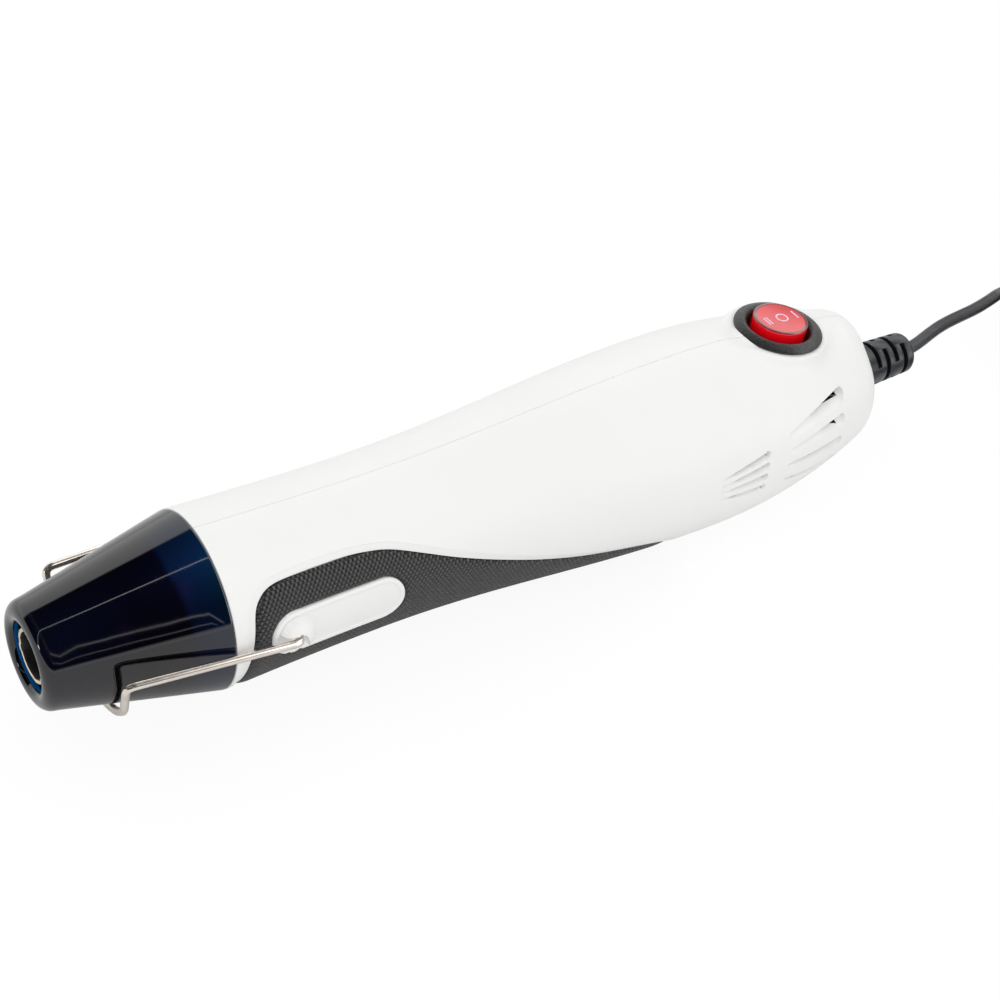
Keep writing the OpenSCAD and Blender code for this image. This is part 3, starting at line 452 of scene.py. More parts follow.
# The second value of each red is the strength of its painted glow.
CLEAR_REDS = {
    "rocker_red": ((0.62, 0.0015, 0.006), 0.30),
    "rocker_face": ((0.66, 0.025, 0.03), 0.04, 0.1),
    "rocker_rim": ((0.20, 0.02, 0.028), 0.0),
}
SHEATHS = {
    "cord_black": ((0.015, 0.016, 0.019), 0.34),
    "relief_black": ((0.011, 0.013, 0.016), 0.3),
}
MAT = {
    "shell": white_shell(),
    "grip_rubber": woven_rubber(),
    "shield": shield_plastic(),
    "shield_inner": shield_inner(),
    "stand_steel": dull_wire(),
}
for maker, finishes in ((moulded, MOULDED), (metal, METALS), (clear_red, CLEAR_REDS), (cord_sheath, SHEATHS)):
    for name, values in finishes.items():
        MAT[name] = maker(name, *values)
for part in frame["record"]["subparts"]:
    mesh = frame["nodes"][part["node"]].data
    mesh.materials.clear()
    mesh.materials.append(MAT[part["material_slot"]])


# Cord: the same route as its solids, measured from the end of the strain relief and from the table.

CORD_D = 3.6
END_X = 252.663
LEAD = [[0, 0, 25.8], [4, 0.2, 25.8], [8.6, 1.2, 25.7], [14, 3.1, 25.2], [20.6, 5.3, 24.5],
        [28.4, 7.6, 23.2], [41.5, 11, 20.8], [51.2, 14.3, 18.8], [58.8, 17.4, 16.8], [68, 21, 13.4],
        [77, 24, 9.4], [84.5, 26.2, 5.5], [90.5, 27.2, 3.3], [96, 27.5, 2.7]]
TO_PLUG = [[125.4, -9, 14.4], [123, -20, 11.4], [117, -30.5, 7.8], [108, -38.8, 5.6], [99, -43.6, 5.6],
           [92, -45, 6.5], [86, -45, 6.8]]
COIL_R = 20.5
COIL_PITCH = CORD_D + 0.5
COIL_LAYERS = 4
COIL_TURNS = 10.25
COIL_HALF = COIL_PITCH * COIL_TURNS / COIL_LAYERS / 2
LAYER_ANGLE = 360 * COIL_TURNS / COIL_LAYERS
COIL_AT = np.array(LEAD[-1]) + [CORD_D, -COIL_R - COIL_HALF, 0]
RINGS_PER_TURN = 48


def coil_point(angle):
    layer = min(int(angle // LAYER_ANGLE), COIL_LAYERS - 1)
    t = angle / LAYER_ANGLE - layer
    radius = COIL_R + COIL_HALF * (1 - 2 * t if layer % 2 == 0 else 2 * t - 1)
    rise = sum(smoothstep((angle - k * LAYER_ANGLE + 90) / 180) * COIL_PITCH for k in range(1, COIL_LAYERS))
    a = math.radians(angle)
    return COIL_AT + [radius * math.sin(a), radius * math.cos(a), rise]


coil_angles = np.linspace(0, 360 * COIL_TURNS, int(COIL_TURNS * RINGS_PER_TURN) + 1)
coil = np.array([coil_point(a) for a in coil_angles])
after_coil = coil[-1] - [0, CORD_D, 0]
tail = smooth_path(np.vstack([[after_coil], TO_PLUG]), 5)
route = np.vstack([smooth_path(LEAD, 5), coil, tail])
route = np.array([p for i, p in enumerate(route) if i == 0 or np.linalg.norm(p - route[i - 1]) > 0.01])
route += [END_X, 0, -AXIS_Z]
flat_cord = [(CORD_D / 2 * c, (1.62 - 0.22 * c ** 16 - 0.34 * math.exp(-(c / 0.28) ** 2)) * s)
             for c, s in ((math.cos(a), math.sin(a)) for a in 2 * math.pi * (np.arange(24) + 0.5) / 24)]
verts, faces = sweep(route, flat_cord, [0, 1, 0])
cord = make_object("cord", world(verts), faces, [MAT["cord_black"]], sharp=60)
place_piece(cord, "tool", "cord_black", "cord_lead", "cord_coil", "cord_end")

# Plug: a moulded flat body whose sections grow from its boot to its pin face.

PLUG_AT = np.array([198.331, -45, 6.8]) - [NOSE_X, 0, AXIS_Z]


def squared(half_w, half_h, power, count=64):
    """A section with rounded corners, in the plane across the plug."""
    a = 2 * math.pi * np.arange(count) / count
    c, s = np.cos(a), np.sin(a)
    return np.column_stack([half_w * np.sign(c) * np.abs(c) ** (2 / power),
                            half_h * np.sign(s) * np.abs(s) ** (2 / power)])


def loft(stations):
    """Vertices and faces of sections set along X, closed at both ends."""
    count = len(stations[0][1])
    verts = [[x, y, z] for x, section in stations for y, z in section]
    faces = ring_faces(len(stations), count, closed=False)
    faces += [list(range(count)), list(range((len(stations) - 1) * count, len(stations) * count))[::-1]]
    return np.array(verts), faces


plug_stations = [(x, squared(w, h, p)) for x, w, h, p in [
    (-34, 13.6, 4.0, 4), (-33.8, 14.3, 4.6, 4), (-33.2, 15.2, 5.2, 4), (-32, 16.3, 5.9, 3.6),
    (-29, 17.1, 6.4, 3.2), (-24, 17.4, 6.6, 3.0), (-20, 16.9, 6.6, 2.9), (-16, 15.2, 6.4, 2.8),
    (-12, 12.6, 6.0, 2.7), (-8, 10.0, 5.5, 2.6), (-4, 7.6, 4.9, 2.4), (-1, 5.6, 4.4, 2.1),
    (0, 4.7, 4.1, 2.0)]]
for x in np.arange(1.0, 13.0, 1.0):
    groove = 0.35 if int(x) % 2 else 0.0
    r = 4.2 - (4.2 - 2.5) * x / 14 - groove
    plug_stations.append((x, squared(r, r, 2.0)))
plug_stations.append((14, squared(2.5, 2.5, 2.0)))
verts, faces = loft(plug_stations)
plug = make_object("plug_shell", world(verts + PLUG_AT), faces, [MAT["cord_black"]], sharp=40)
place_piece(plug, "tool", "cord_black", "plug_body")


# The body's outline and its surface coordinates: u runs along the outline from the shield's end to the
# relief's hole, and v runs round it from the top, in millimetres at a radius of V_R.

V_R = 23.0
V_END = V_R * math.pi
SHIELD_LEN = 39.7
COLLAR_R = 21.2
NECK_X, NECK_R = 80.0, 20.4
BELLY_X, BELLY_R = 176.0, 25.8
TAIL_X, TAIL_R, TAIL_ROUND = 225.0, 18.0, 11.0
TAIL_CURVE = (BELLY_R - TAIL_R) / (TAIL_X - BELLY_X) ** 2
TAIL_SLOPE = math.atan(2 * TAIL_CURVE * (TAIL_X - BELLY_X))
ROUND_X = TAIL_X - TAIL_ROUND * math.sin(TAIL_SLOPE)
ROUND_R = TAIL_R - TAIL_ROUND * math.cos(TAIL_SLOPE)
BODY_END = ROUND_X + TAIL_ROUND
U_FACE = TAIL_X + TAIL_ROUND * (math.pi / 2 - TAIL_SLOPE)
RELIEF_HOLE = 5.15
U_END = U_FACE + ROUND_R - RELIEF_HOLE
LIP = 1.85


def body_r(x):
    x = np.asarray(x, float)
    front = NECK_R + (COLLAR_R - NECK_R) * (1 - (x - SHIELD_LEN) / (NECK_X - SHIELD_LEN)) ** 2
    swell = NECK_R + (BELLY_R - NECK_R) * (1 - np.cos(math.pi * (x - NECK_X) / (BELLY_X - NECK_X))) / 2
    rear = BELLY_R - TAIL_CURVE * (x - BELLY_X) ** 2
    return np.where(x < NECK_X, front, np.where(x < BELLY_X, swell, rear))


def shield_in(x):
    return 12 + (COLLAR_R - 12) * x / SHIELD_LEN - 1.6


def outline(u):
    """x, radius and the outward normal's two parts at each u."""
    u = np.asarray(u, float)
    x = np.clip(u, SHIELD_LEN, TAIL_X)
    r = body_r(x)
    slope = (body_r(x + 0.01) - body_r(x - 0.01)) / 0.02
    nx, nr = -slope / np.hypot(slope, 1), 1 / np.hypot(slope, 1)
    turn = (u > TAIL_X) & (u <= U_FACE)
    a = TAIL_SLOPE + (u - TAIL_X) / TAIL_ROUND
    x = np.where(turn, ROUND_X + TAIL_ROUND * np.sin(a), x)
    r = np.where(turn, ROUND_R + TAIL_ROUND * np.cos(a), r)
    nx, nr = np.where(turn, np.sin(a), nx), np.where(turn, np.cos(a), nr)
    flat = u > U_FACE
    x, r = np.where(flat, BODY_END, x), np.where(flat, ROUND_R - (u - U_FACE), r)
    nx, nr = np.where(flat, 1, nx), np.where(flat, 0, nr)
    lip = u < SHIELD_LEN
    spigot = u < SHIELD_LEN - LIP
    spigot_x = SHIELD_LEN - (SHIELD_LEN - LIP - u)
    x = np.where(lip, np.where(spigot, spigot_x, SHIELD_LEN), x)
    r = np.where(lip, np.where(spigot, shield_in(spigot_x) - 0.15, COLLAR_R - (SHIELD_LEN - u)), r)
    nx, nr = np.where(lip, np.where(spigot, 0, -1), nx), np.where(lip, np.where(spigot, 1, 0), nr)
    return x, r, nx, nr


# The switch's seat: its centre, its tilt, the platform under it and the ridge down to the tail.

SEAT = np.array([203.7, 0, 23.0])
TILT = math.radians(4)
SEAT_X = np.array([math.cos(TILT), 0, -math.sin(TILT)])
SEAT_Z = np.array([math.sin(TILT), 0, math.cos(TILT)])
PLATFORM_R = 12.8
FLAT_R = 11.8
SWITCH_HOLE = 10.1
RIDGE = [np.array([206.5, 0, 12.0]), 12.2, np.array([220.91, 0, 10.58]), 10.9]


def seat_frame(points):
    """Distance from the switch's axis and height above its seat."""
    q = points - SEAT
    return np.hypot(q @ SEAT_X, q[:, 1]), q @ SEAT_Z


def soft_min(a, b, k):
    h = np.maximum(k - np.abs(a - b), 0) / k
    return np.minimum(a, b) - h * h * k / 4


def tail_distance(points, radius_at):
    """Distance to the rear of the body: its outline, the switch's platform and the ridge, blended."""
    round_body = np.hypot(points[:, 1], points[:, 2]) - radius_at
    rho, height = seat_frame(points)
    edge = 0.7
    qx, qz = rho - PLATFORM_R + edge, height + edge
    platform = np.hypot(np.maximum(qx, 0), np.maximum(qz, 0)) + np.minimum(np.maximum(qx, qz), 0) - edge
    a, ra, b, rb = RIDGE
    along = np.clip(((points - a) @ (b - a)) / ((b - a) @ (b - a)), 0, 1)
    ridge = np.linalg.norm(points - a - along[:, None] * (b - a), axis=1) - (ra + (rb - ra) * along)
    joined = soft_min(soft_min(round_body, platform, 3.4), ridge, 3.0)
    dish = height - 0.3 * np.maximum(rho - FLAT_R, 0)
    return -soft_min(-joined, -dish, 1.2)


def tail_radius(x, r, theta):
    """Radius of the blended tail along each ray from the axis."""
    ray = np.column_stack([np.zeros_like(theta), np.sin(theta), np.cos(theta)])
    reach = r + 7.0
    for _ in range(60):
        points = ray * reach[:, None]
        points[:, 0] = x
        reach = reach - 0.8 * tail_distance(points, r)
    return np.maximum(reach, r - 0.6)


# Lines drawn on the body's side view: the grip's edge, the pads, the air inlets and the screws.

def to_uv(xz, inset=0.3):
    """Side-view points as surface coordinates."""
    x, z = np.asarray(xz, float).T
    return np.column_stack([x, V_R * np.arccos(np.clip(z / (body_r(x) - inset), -1, 1))])


GRIP_POINTS = [
    [42.2, -19], [42.3, -14], [42.6, -9.3], [43.4, -3], [44.3, 3], [45.2, 8.8], [46.9, 11.4], [49.9, 12.9],
    [55.3, 13.3], [68, 13.2], [75, 12.6], [80.5, 11.5], [87.5, 8.9], [97.5, 4.7], [108.5, 0.4], [120.5, -4],
    [133, -7.9], [149, -11.9], [158, -15.2], [164.5, -19], [168.8, -23], [170.4, -25.6]]
GRIP_EDGE = smooth_path([[x, z, 0] for x, z in GRIP_POINTS], 4)[:, :2]
grip_line = to_uv(GRIP_EDGE)
grip_outline = np.vstack([[[grip_line[0][0], V_END + 6]], grip_line, [[grip_line[-1][0], V_END + 6]]])
STEP_W = 1.9
STEP_LIP = 0.08
STEP_EDGE = 0.15
STEP_DROP = 0.53
GRIP_T = 1.4
PIVOT = np.array([54.3, 0.9])
PAD_LEN = 22.2
PAD_HALF = 5.7
PAD_RIM = 0.62
NOTCHES = [[52.5, -4.75], [55.4, -4.95]]
NOTCH_R = 0.62
SEAM_HALF = 0.34
SEAM_DEPTH = 0.04
WIRE_R = 0.95
ARM_Y = 23.75


def polygon_distance(p, outline_points):
    """Signed distance to a closed outline, negative inside."""
    nearest = np.full(len(p), 1e9)
    inside = np.zeros(len(p), bool)
    for start, end in zip(outline_points, np.roll(outline_points, -1, 0)):
        d = end - start
        t = np.clip(((p - start) @ d) / (d @ d), 0, 1)
        nearest = np.minimum(nearest, np.linalg.norm(p - start - t[:, None] * d, axis=1))
        crossed = (start[1] > p[:, 1]) != (end[1] > p[:, 1])
        x = start[0] + (p[:, 1] - start[1]) * d[0] / (d[1] if abs(d[1]) > 1e-9 else 1e-9)
        inside ^= crossed & (p[:, 0] < x)
    return np.where(inside, -nearest, nearest)


def side_view(uv):
    x, r, _, _ = outline(uv[:, 0])
    return np.column_stack([x, r * np.cos(uv[:, 1] / V_R)])


def grip_distance(uv):
    return polygon_distance(uv, grip_outline)


def pad_distance(uv):
    q = side_view(uv) - PIVOT
    d = np.hypot(q[:, 0] - np.clip(q[:, 0], 0, PAD_LEN), q[:, 1]) - PAD_HALF
    for notch in NOTCHES:
        d = np.maximum(d, NOTCH_R - np.linalg.norm(side_view(uv) - notch, axis=1))
    return d


# Each fan of louvres has its ends in x and its depths at them. Each louvre has its fan, its upper edge's
# angles, its widths and its rear end's rounding.
REAR_FAN = (192.0, 213.8), (0.8, 3.0)
FRONT_FAN = (170.2, 185.2), (0.7, 2.3)
LOUVRES = [(REAR_FAN, (67.3, 50.0), (1.9, 4.5), 1.7), (REAR_FAN, (77.5, 69.8), (1.1, 3.4), 1.5),
           (REAR_FAN, (87.0, 88.2), (1.0, 3.2), 1.5), (REAR_FAN, (98.3, 107.5), (1.0, 3.2), 1.5)]
LOUVRES += [(FRONT_FAN, angles, (0.8, 2.2), 0.8)
            for angles in ((79.4, 71.9), (84.0, 79.2), (88.3, 86.6), (93.1, 94.7))]
LOUVRE_FOOT = 0.15
# The openings under the louvres' upper edges, sunk VENT_DEEP into the skin and painted near-black as painted
# shade for the dark inside: each one's louvre, its ends along it and its widths at them.
VENTS = [(0, 0.40, 0.94, 0.1, 2.35), (1, 0.62, 0.87, 0.1, 2.3), (2, 0.08, 0.93, 0.62, 1.66),
         (3, 0.06, 0.95, 0.72, 2.05), (4, 0.2, 0.93, 0.1, 1.0), (5, 0.2, 0.93, 0.1, 1.12),
         (6, 0.15, 0.93, 0.1, 1.2), (7, 0.1, 0.93, 0.1, 1.33)]
VENT_DEEP = 5.0


def louvre_fields(uv, louvre):
    """Distance to a louvre, distance below its upper edge and its depth there."""
    ((x0, x1), (d0, d1)), (a0, a1), (w0, w1), corner = louvre
    t = (uv[:, 0] - x0) / (x1 - x0)
    radius = body_r(np.clip(uv[:, 0], x0, x1))
    edge = np.radians(a0 + (a1 - a0) * t) * V_R
    slope = math.radians(a1 - a0) * V_R / (x1 - x0)
    below = (uv[:, 1] - edge) / V_R * radius / math.hypot(slope, 1)
    width = w0 + (w1 - w0) * np.clip(t, 0, 1)
    ahead, behind = x0 - uv[:, 0], uv[:, 0] - x1
    sides = np.maximum(-below, below - width)
    distance = -soft_min(-np.maximum(sides, ahead), -behind, corner * 1.4)
    depth = d0 + (d1 - d0) * np.clip(t, 0, 1) ** 0.8
    depth = depth * (1 - np.clip((below - LOUVRE_FOOT) / (width - LOUVRE_FOOT), 0, 1))
    end = np.clip(-behind / (corner * 1.3), 0, 1)
    return distance, below, depth * np.clip(below / LOUVRE_FOOT, 0, 1) * np.sqrt(1 - (1 - end) ** 2)


def louvre_distance(uv):
    return np.min([louvre_fields(uv, l)[0] for l in LOUVRES], axis=0)


def louvre_foot(uv):
    parts = []
    for l in LOUVRES:
        distance, below, _ = louvre_fields(uv, l)
        parts.append(np.maximum(distance - 0.08, below - LOUVRE_FOOT))
    return np.min(parts, axis=0)


def vent_distance(uv):
    parts = []
    for index, first, last, narrow, wide in VENTS:
        (x0, x1), below = LOUVRES[index][0][0], louvre_fields(uv, LOUVRES[index])[1]
        t = (uv[:, 0] - x0) / (x1 - x0)
        width = narrow + (wide - narrow) * np.clip((t - first) / (last - first), 0, 1)
        ends = np.maximum(first - t, t - last) * (x1 - x0)
        parts.append(np.max([0.06 - below, below - width, ends], axis=0))
    return np.min(parts, axis=0)


def louvre_depth(uv):
    depth = np.zeros(len(uv))
    for l in LOUVRES:
        distance, _, d = louvre_fields(uv, l)
        depth = np.maximum(depth, np.where(distance < 0, d * np.clip(-distance / 0.1, 0, 1), 0))
    return depth


BOSS_R = 4.3
BOSS_H = 3.0
SWING = math.radians(105)
ARM_ROOM = WIRE_R + 0.35


def boss_opening(q):
    """Distance out of the room that the stand's arm swings through, with a rounded inner corner."""
    above = q[:, 1] - ARM_ROOM
    behind = q @ [math.sin(SWING), math.sin(SWING - math.pi / 2)] - ARM_ROOM
    return -soft_min(-above, -behind, 1.6)


def boss_cut(uv):
    """Falls through zero at the boss's open side, near the pivot alone."""
    q = side_view(uv) - PIVOT
    return np.maximum(-boss_opening(q), np.linalg.norm(q, axis=1) - BOSS_R - 0.3)


def boss_height(uv):
    q = side_view(uv) - PIVOT
    rho = np.hypot(q[:, 0], q[:, 1])
    dome = BOSS_H * np.sqrt(np.clip(1 - (rho / BOSS_R) ** 2.6, 0, 1))
    open_side = np.clip(boss_opening(q) / 0.12, 0, 1)
    pocket = 1.5 * (1 - smoothstep((np.hypot(q[:, 0] - 0.5, (q[:, 1] - 0.3) * 1.1) - 1.2) / 0.7))
    return dome * open_side, pocket


def shell_height(uv):
    """How far each point stands above the plain outline."""
    grip, pad = grip_distance(uv), pad_distance(uv)
    step = -STEP_EDGE * np.clip((STEP_W - grip) / STEP_LIP, 0, 1)
    step -= (STEP_DROP - STEP_EDGE) * np.clip(1 - grip / (STEP_W - STEP_LIP), 0, 1)
    well = -(GRIP_T - STEP_DROP) * np.clip(-grip / 0.12, 0, 1)
    height = np.where(grip < STEP_W, step + well, 0)
    on_pad = 0.1 + 0.42 * np.sqrt(np.clip(1 - ((-pad - PAD_RIM) / PAD_RIM) ** 2, 0, 1))
    rise = np.clip((0.12 - pad) / 0.12, 0, 1)
    height = np.where(pad < 0.12, height * (1 - rise) + on_pad * rise, height)
    dome, pocket = boss_height(uv)
    near = np.linalg.norm(side_view(uv) - PIVOT, axis=1) < 6
    height = np.where(near & (uv[:, 1] < V_END * 0.75) & (uv[:, 1] > V_END * 0.25),
                      np.maximum(height - pocket, dome + 0.1 * (dome > 0)), height)
    height = height - louvre_depth(uv) - VENT_DEEP * np.clip(-vent_distance(uv) / 0.05, 0, 1)
    seam = np.minimum(uv[:, 1], V_END - uv[:, 1])
    height = height - SEAM_DEPTH * (1 - smoothstep(seam / SEAM_HALF))
    collar = np.clip((uv[:, 0] - SHIELD_LEN) / 0.4, 0, 1)
    return height - np.where(uv[:, 0] >= SHIELD_LEN, 0.3 * (1 - np.sqrt(1 - (1 - collar) ** 2)), 0)


def skin_points(uv, side, heights):
    x, r, nx, nr = outline(uv[:, 0])
    theta = uv[:, 1] / V_R
    rear = (uv[:, 0] > 186) & (theta < 1.45)
    blended = r.copy()
    blended[rear] = tail_radius(x[rear], r[rear], theta[rear])
    radius = blended + heights * nr
    y = np.maximum(radius * np.sin(theta), 0.02)
    return np.column_stack([x + heights * nx, side * y, radius * np.cos(theta)])


# Crisp lines: a surface grid is cut where a field passes a level, so that each edge has its own vertices.

def grid(us, vs):
    """Points at every pair of values, joined by triangles."""
    uv = np.array([[u, v] for u in us for v in vs])
    n = len(vs)
    corner = (np.arange(len(us) - 1)[:, None] * n + np.arange(n - 1)[None, :]).ravel()
    tris = np.vstack([np.column_stack([corner, corner + n, corner + n + 1]),
                      np.column_stack([corner, corner + n + 1, corner + 1])])
    return uv, tris


def cut(uv, tris, field, level):
    value = field(uv) - level
    value[np.abs(value) < 1e-5] = 1e-5
    sign = value > 0
    count = sign[tris].sum(1)
    mixed = (count == 1) | (count == 2)
    keep, work = tris[~mixed], tris[mixed]
    if not len(work):
        return uv, tris
    lone = np.where(count[mixed] == 1, True, False)
    apex = np.argmax(sign[work] == lone[:, None], axis=1)
    rows = np.arange(len(work))
    a, b, c = work[rows, apex], work[rows, (apex + 1) % 3], work[rows, (apex + 2) % 3]
    pairs = np.sort(np.vstack([np.column_stack([a, b]), np.column_stack([a, c])]), axis=1)
    edges, index = np.unique(pairs, axis=0, return_inverse=True)
    index = index.ravel()
    share = value[edges[:, 0]] / (value[edges[:, 0]] - value[edges[:, 1]])
    new = uv[edges[:, 0]] + share[:, None] * (uv[edges[:, 1]] - uv[edges[:, 0]])
    p, q = index[:len(work)] + len(uv), index[len(work):] + len(uv)
    added = np.vstack([np.column_stack([a, p, q]), np.column_stack([p, b, c]), np.column_stack([p, c, q])])
    return np.vstack([uv, new]), np.vstack([keep, added])


def used_only(uv, tris):
    used, index = np.unique(tris, return_inverse=True)
    return uv[used], index.reshape(-1, 3)


def edge_pairs(tris):
    """Every triangle's edges, and those that one triangle alone has."""
    edges = np.vstack([tris[:, [0, 1]], tris[:, [1, 2]], tris[:, [2, 0]]])
    keys, counts = np.unique(np.sort(edges, axis=1), axis=0, return_counts=True)
    return edges, {tuple(k) for k in keys[counts == 1]}


SCREWS = np.array([[96, 12], [166, 14], [166, -14], [BODY_END - 8, 8.5], [BODY_END - 8, -8.5]])
SCREW_HOLE = 2.95
SCREW_SEAT = 8.0


def screw_distance(uv):
    q = side_view(uv)
    return np.min(np.linalg.norm(q[:, None] - SCREWS[None], axis=2), axis=1) - SCREW_HOLE


def hole_distance(uv):
    points = skin_points(uv, 1, np.zeros(len(uv)))
    rho, height = seat_frame(points)
    return np.where((height > -4) & (height < 3), rho - SWITCH_HOLE, 30)


def build_skin(side, name, node):
    us = np.concatenate([[29.85, 33.0, 37.85, 38.8], np.arange(SHIELD_LEN, SHIELD_LEN + 0.5, 0.1),
                         np.arange(40.4, 188, 0.7), np.arange(188, U_FACE, 0.45),
                         np.linspace(U_FACE, U_END, 5)])
    seam = np.array([0, SEAM_HALF / 2, SEAM_HALF])
    vs = np.concatenate([seam, np.arange(0.8, 34, 0.55), np.arange(34.2, V_END - 0.8, 0.7),
                         V_END - seam[::-1]])
    uv, tris = grid(us, vs)
    cuts = [(grip_distance, (STEP_W, STEP_W - STEP_LIP, 0, -0.12)),
            (pad_distance, (0.12, 0, -0.1, -0.3, -PAD_RIM, -0.95, -1.14, -2 * PAD_RIM)),
            (louvre_distance, (0,)), (louvre_foot, (0,)), (vent_distance, (0, -0.05)),
            (boss_cut, (0, -0.12)), (hole_distance, (0,))]
    if side > 0:
        cuts.append((screw_distance, (0,)))
    for field, levels in cuts:
        for level in levels:
            uv, tris = cut(uv, tris, field, level)
    centres = uv[tris].mean(1)
    gone = hole_distance(centres) < 0
    if side > 0:
        gone |= screw_distance(centres) < 0
    uv, tris = used_only(uv, tris[~gone])
    points = skin_points(uv, side, shell_height(uv))
    faces = [list(t) for t in (tris if side < 0 else tris[:, ::-1])]
    if side > 0:
        points, faces = screw_wells(uv, points, tris, faces)
    # Faces inside the vents take vent_dark: painted shade for the dark inside behind the openings.
    dark = np.zeros(len(faces), int)
    dark[:len(tris)] = vent_distance(uv[tris].mean(1)) < 0
    skin = make_object(name, world(points), faces, [MAT["shell"], MAT["vent_dark"]], indices=dark)
    return place_piece(skin, "tool", "shell", node)


def screw_wells(uv, points, tris, faces):
    """Carries the screw holes' edges down to the screws' seats."""
    edges, lone = edge_pairs(tris)
    near = screw_distance(uv) < 0.05
    points = [*points]
    made = {}

    def foot(i):
        if i not in made:
            made[i] = len(points)
            points.append(np.array([points[i][0], SCREW_SEAT, points[i][2]]))
        return made[i]

    for a, b in edges:
        if near[a] and near[b] and tuple(sorted((a, b))) in lone:
            faces.append([a, b, foot(b), foot(a)])
    return np.array(points), faces


build_skin(-1, "shell_left", "left_housing")
build_skin(1, "shell_right", "right_housing")


# Grip: one rubber sleeve with swelling edges that wraps the underside.

GRIP_GAP = 0.12


def grip_inside(uv):
    """Grows inwards from the grip's own edges, and is negative outside them."""
    return np.minimum(-grip_distance(uv) - GRIP_GAP, pad_distance(uv) - GRIP_GAP)


def grip_height(uv):
    def swell(t):
        return np.sqrt(1 - (1 - np.clip(t, 0, 1)) ** 2)

    edge = swell((-grip_distance(uv) - GRIP_GAP) / 2.8)
    pad = swell((pad_distance(uv) - GRIP_GAP) / 1.3)
    return -GRIP_T + 0.05 + (GRIP_T + 0.02) * np.minimum(0.3 + 0.7 * edge, 0.55 + 0.45 * pad)


def build_grip():
    us = np.arange(41, 171.5, 0.8)
    vs = np.concatenate([np.arange(20, V_END - 0.5, 0.8), [V_END]])
    uv, tris = grid(us, vs)
    for level in (0.12, 0.4, 0.8, 1.4, 0):
        uv, tris = cut(uv, tris, grip_inside, level)
    uv, tris = used_only(uv, tris[grip_inside(uv[tris].mean(1)) > 0])
    edges, lone = edge_pairs(tris)
    verts, coords, faces = [], [], []
    for side in (-1, 1):
        base = len(verts)
        top = skin_points(uv, side, grip_height(uv))
        top[:, 1] = np.where(uv[:, 1] > V_END - 1e-6, 0, top[:, 1])
        low = skin_points(uv, side, np.full(len(uv), -GRIP_T + 0.03))
        verts += [*top]
        coords += [[u, side * (V_END - v)] for u, v in uv]
        faces += [list(base + (t if side < 0 else t[::-1])) for t in tris]
        feet = {}
        for a, b in edges:
            if tuple(sorted((a, b))) not in lone or (uv[a][1] > V_END - 1e-6 and uv[b][1] > V_END - 1e-6):
                continue
            for i in (a, b):
                if i not in feet:
                    feet[i] = len(verts)
                    verts.append(low[i])
                    coords.append([uv[i][0], side * (V_END - uv[i][1])])
            quad = [base + b, base + a, feet[a], feet[b]]
            faces.append(quad if side < 0 else quad[::-1])
    grip = make_object("grip", world(verts), faces, [MAT["grip_rubber"]], uvs=coords, sharp=50)
    work = bmesh.new()
    work.from_mesh(grip.data)
    bmesh.ops.remove_doubles(work, verts=work.verts, dist=1e-6)
    work.to_mesh(grip.data)
    work.free()
    return place_piece(grip, "tool", "grip_rubber", "grip_sleeve")


build_grip()


# Heat shield: a cone with a rounded front rim, a bead inside and a blue inner face with a painted glow.

def shield_out(x):
    return 12 + (COLLAR_R - 12) * x / SHIELD_LEN


RIM = 3.0
shield_profile = ([[1.7, 7.95], [1.25, 7.9], [0.8, 8.02], [0.42, 8.35], [0.15, 8.8]]
                  + arc([RIM, shield_out(RIM) - RIM], RIM, 180, 103, 14)
                  + [[x, shield_out(x)] for x in np.linspace(4, 39.1, 10)]
                  + [[39.35, shield_out(39.35) - 0.04], [39.5, shield_out(39.5) - 0.18]]
                  + [[39.55, shield_in(39.55)]]
                  + [[36.5, shield_in(36.5)], [36.1, shield_in(36.1) - 0.7], [35.3, shield_in(35.3) - 0.7],
                     [34.9, shield_in(34.9)]]
                  + [[x, shield_in(x)] for x in np.linspace(34, 3.4, 8)] + [[2.2, 8.25]])
SHIELD_SIDES = 160
verts, faces = lathe(shield_profile, SHIELD_SIDES)
# The lip's inside and the inner face take shield_inner, whose blue glow is painted light.
inner = [1] + [0] * (len(shield_profile) - 3) + [1, 1]
shield = make_object("shield", world(verts), faces, [MAT["shield"], MAT["shield_inner"]], sharp=50,
                     indices=np.repeat(inner, SHIELD_SIDES))
place_piece(shield, "tool", "shield", "nozzle_shield")

# Outlet lining: a mica tube whose front edge is uneven; its inside takes the near-black heater_dark finish as
# painted shade deep in the tube.

rng = np.random.default_rng(7)
LINING_SIDES = 96
lining = [[1.95, 5.9], [1.88, 6.1], [1.78, 6.32], [1.6, 6.3], [1.55, 6.0], [1.65, 5.5], [2.1, 5.27],
          [9.6, 5.25], [9.6, 5.88]]
verts, faces = lathe(lining, LINING_SIDES)
front = verts[:, 0] < 1.9
wobble = np.repeat(rng.normal(0, 1, 24), 4)[np.arange(len(verts)) % LINING_SIDES]
verts[front, 0] -= 0.1 * np.abs(wobble[front])
verts[front, 1:] *= (1 + 0.012 * wobble[front])[:, None]
# The inside and rear end of the tube are painted shade in heater_dark.
outlet = make_object("outlet_lining", world(verts), faces, [MAT["mica"], MAT["heater_dark"]], sharp=60,
                     indices=np.repeat([0] * 5 + [1] * 3 + [0], LINING_SIDES))
place_piece(outlet, "tool", "mica", "outlet_liner")

# Stand: one bent wire.

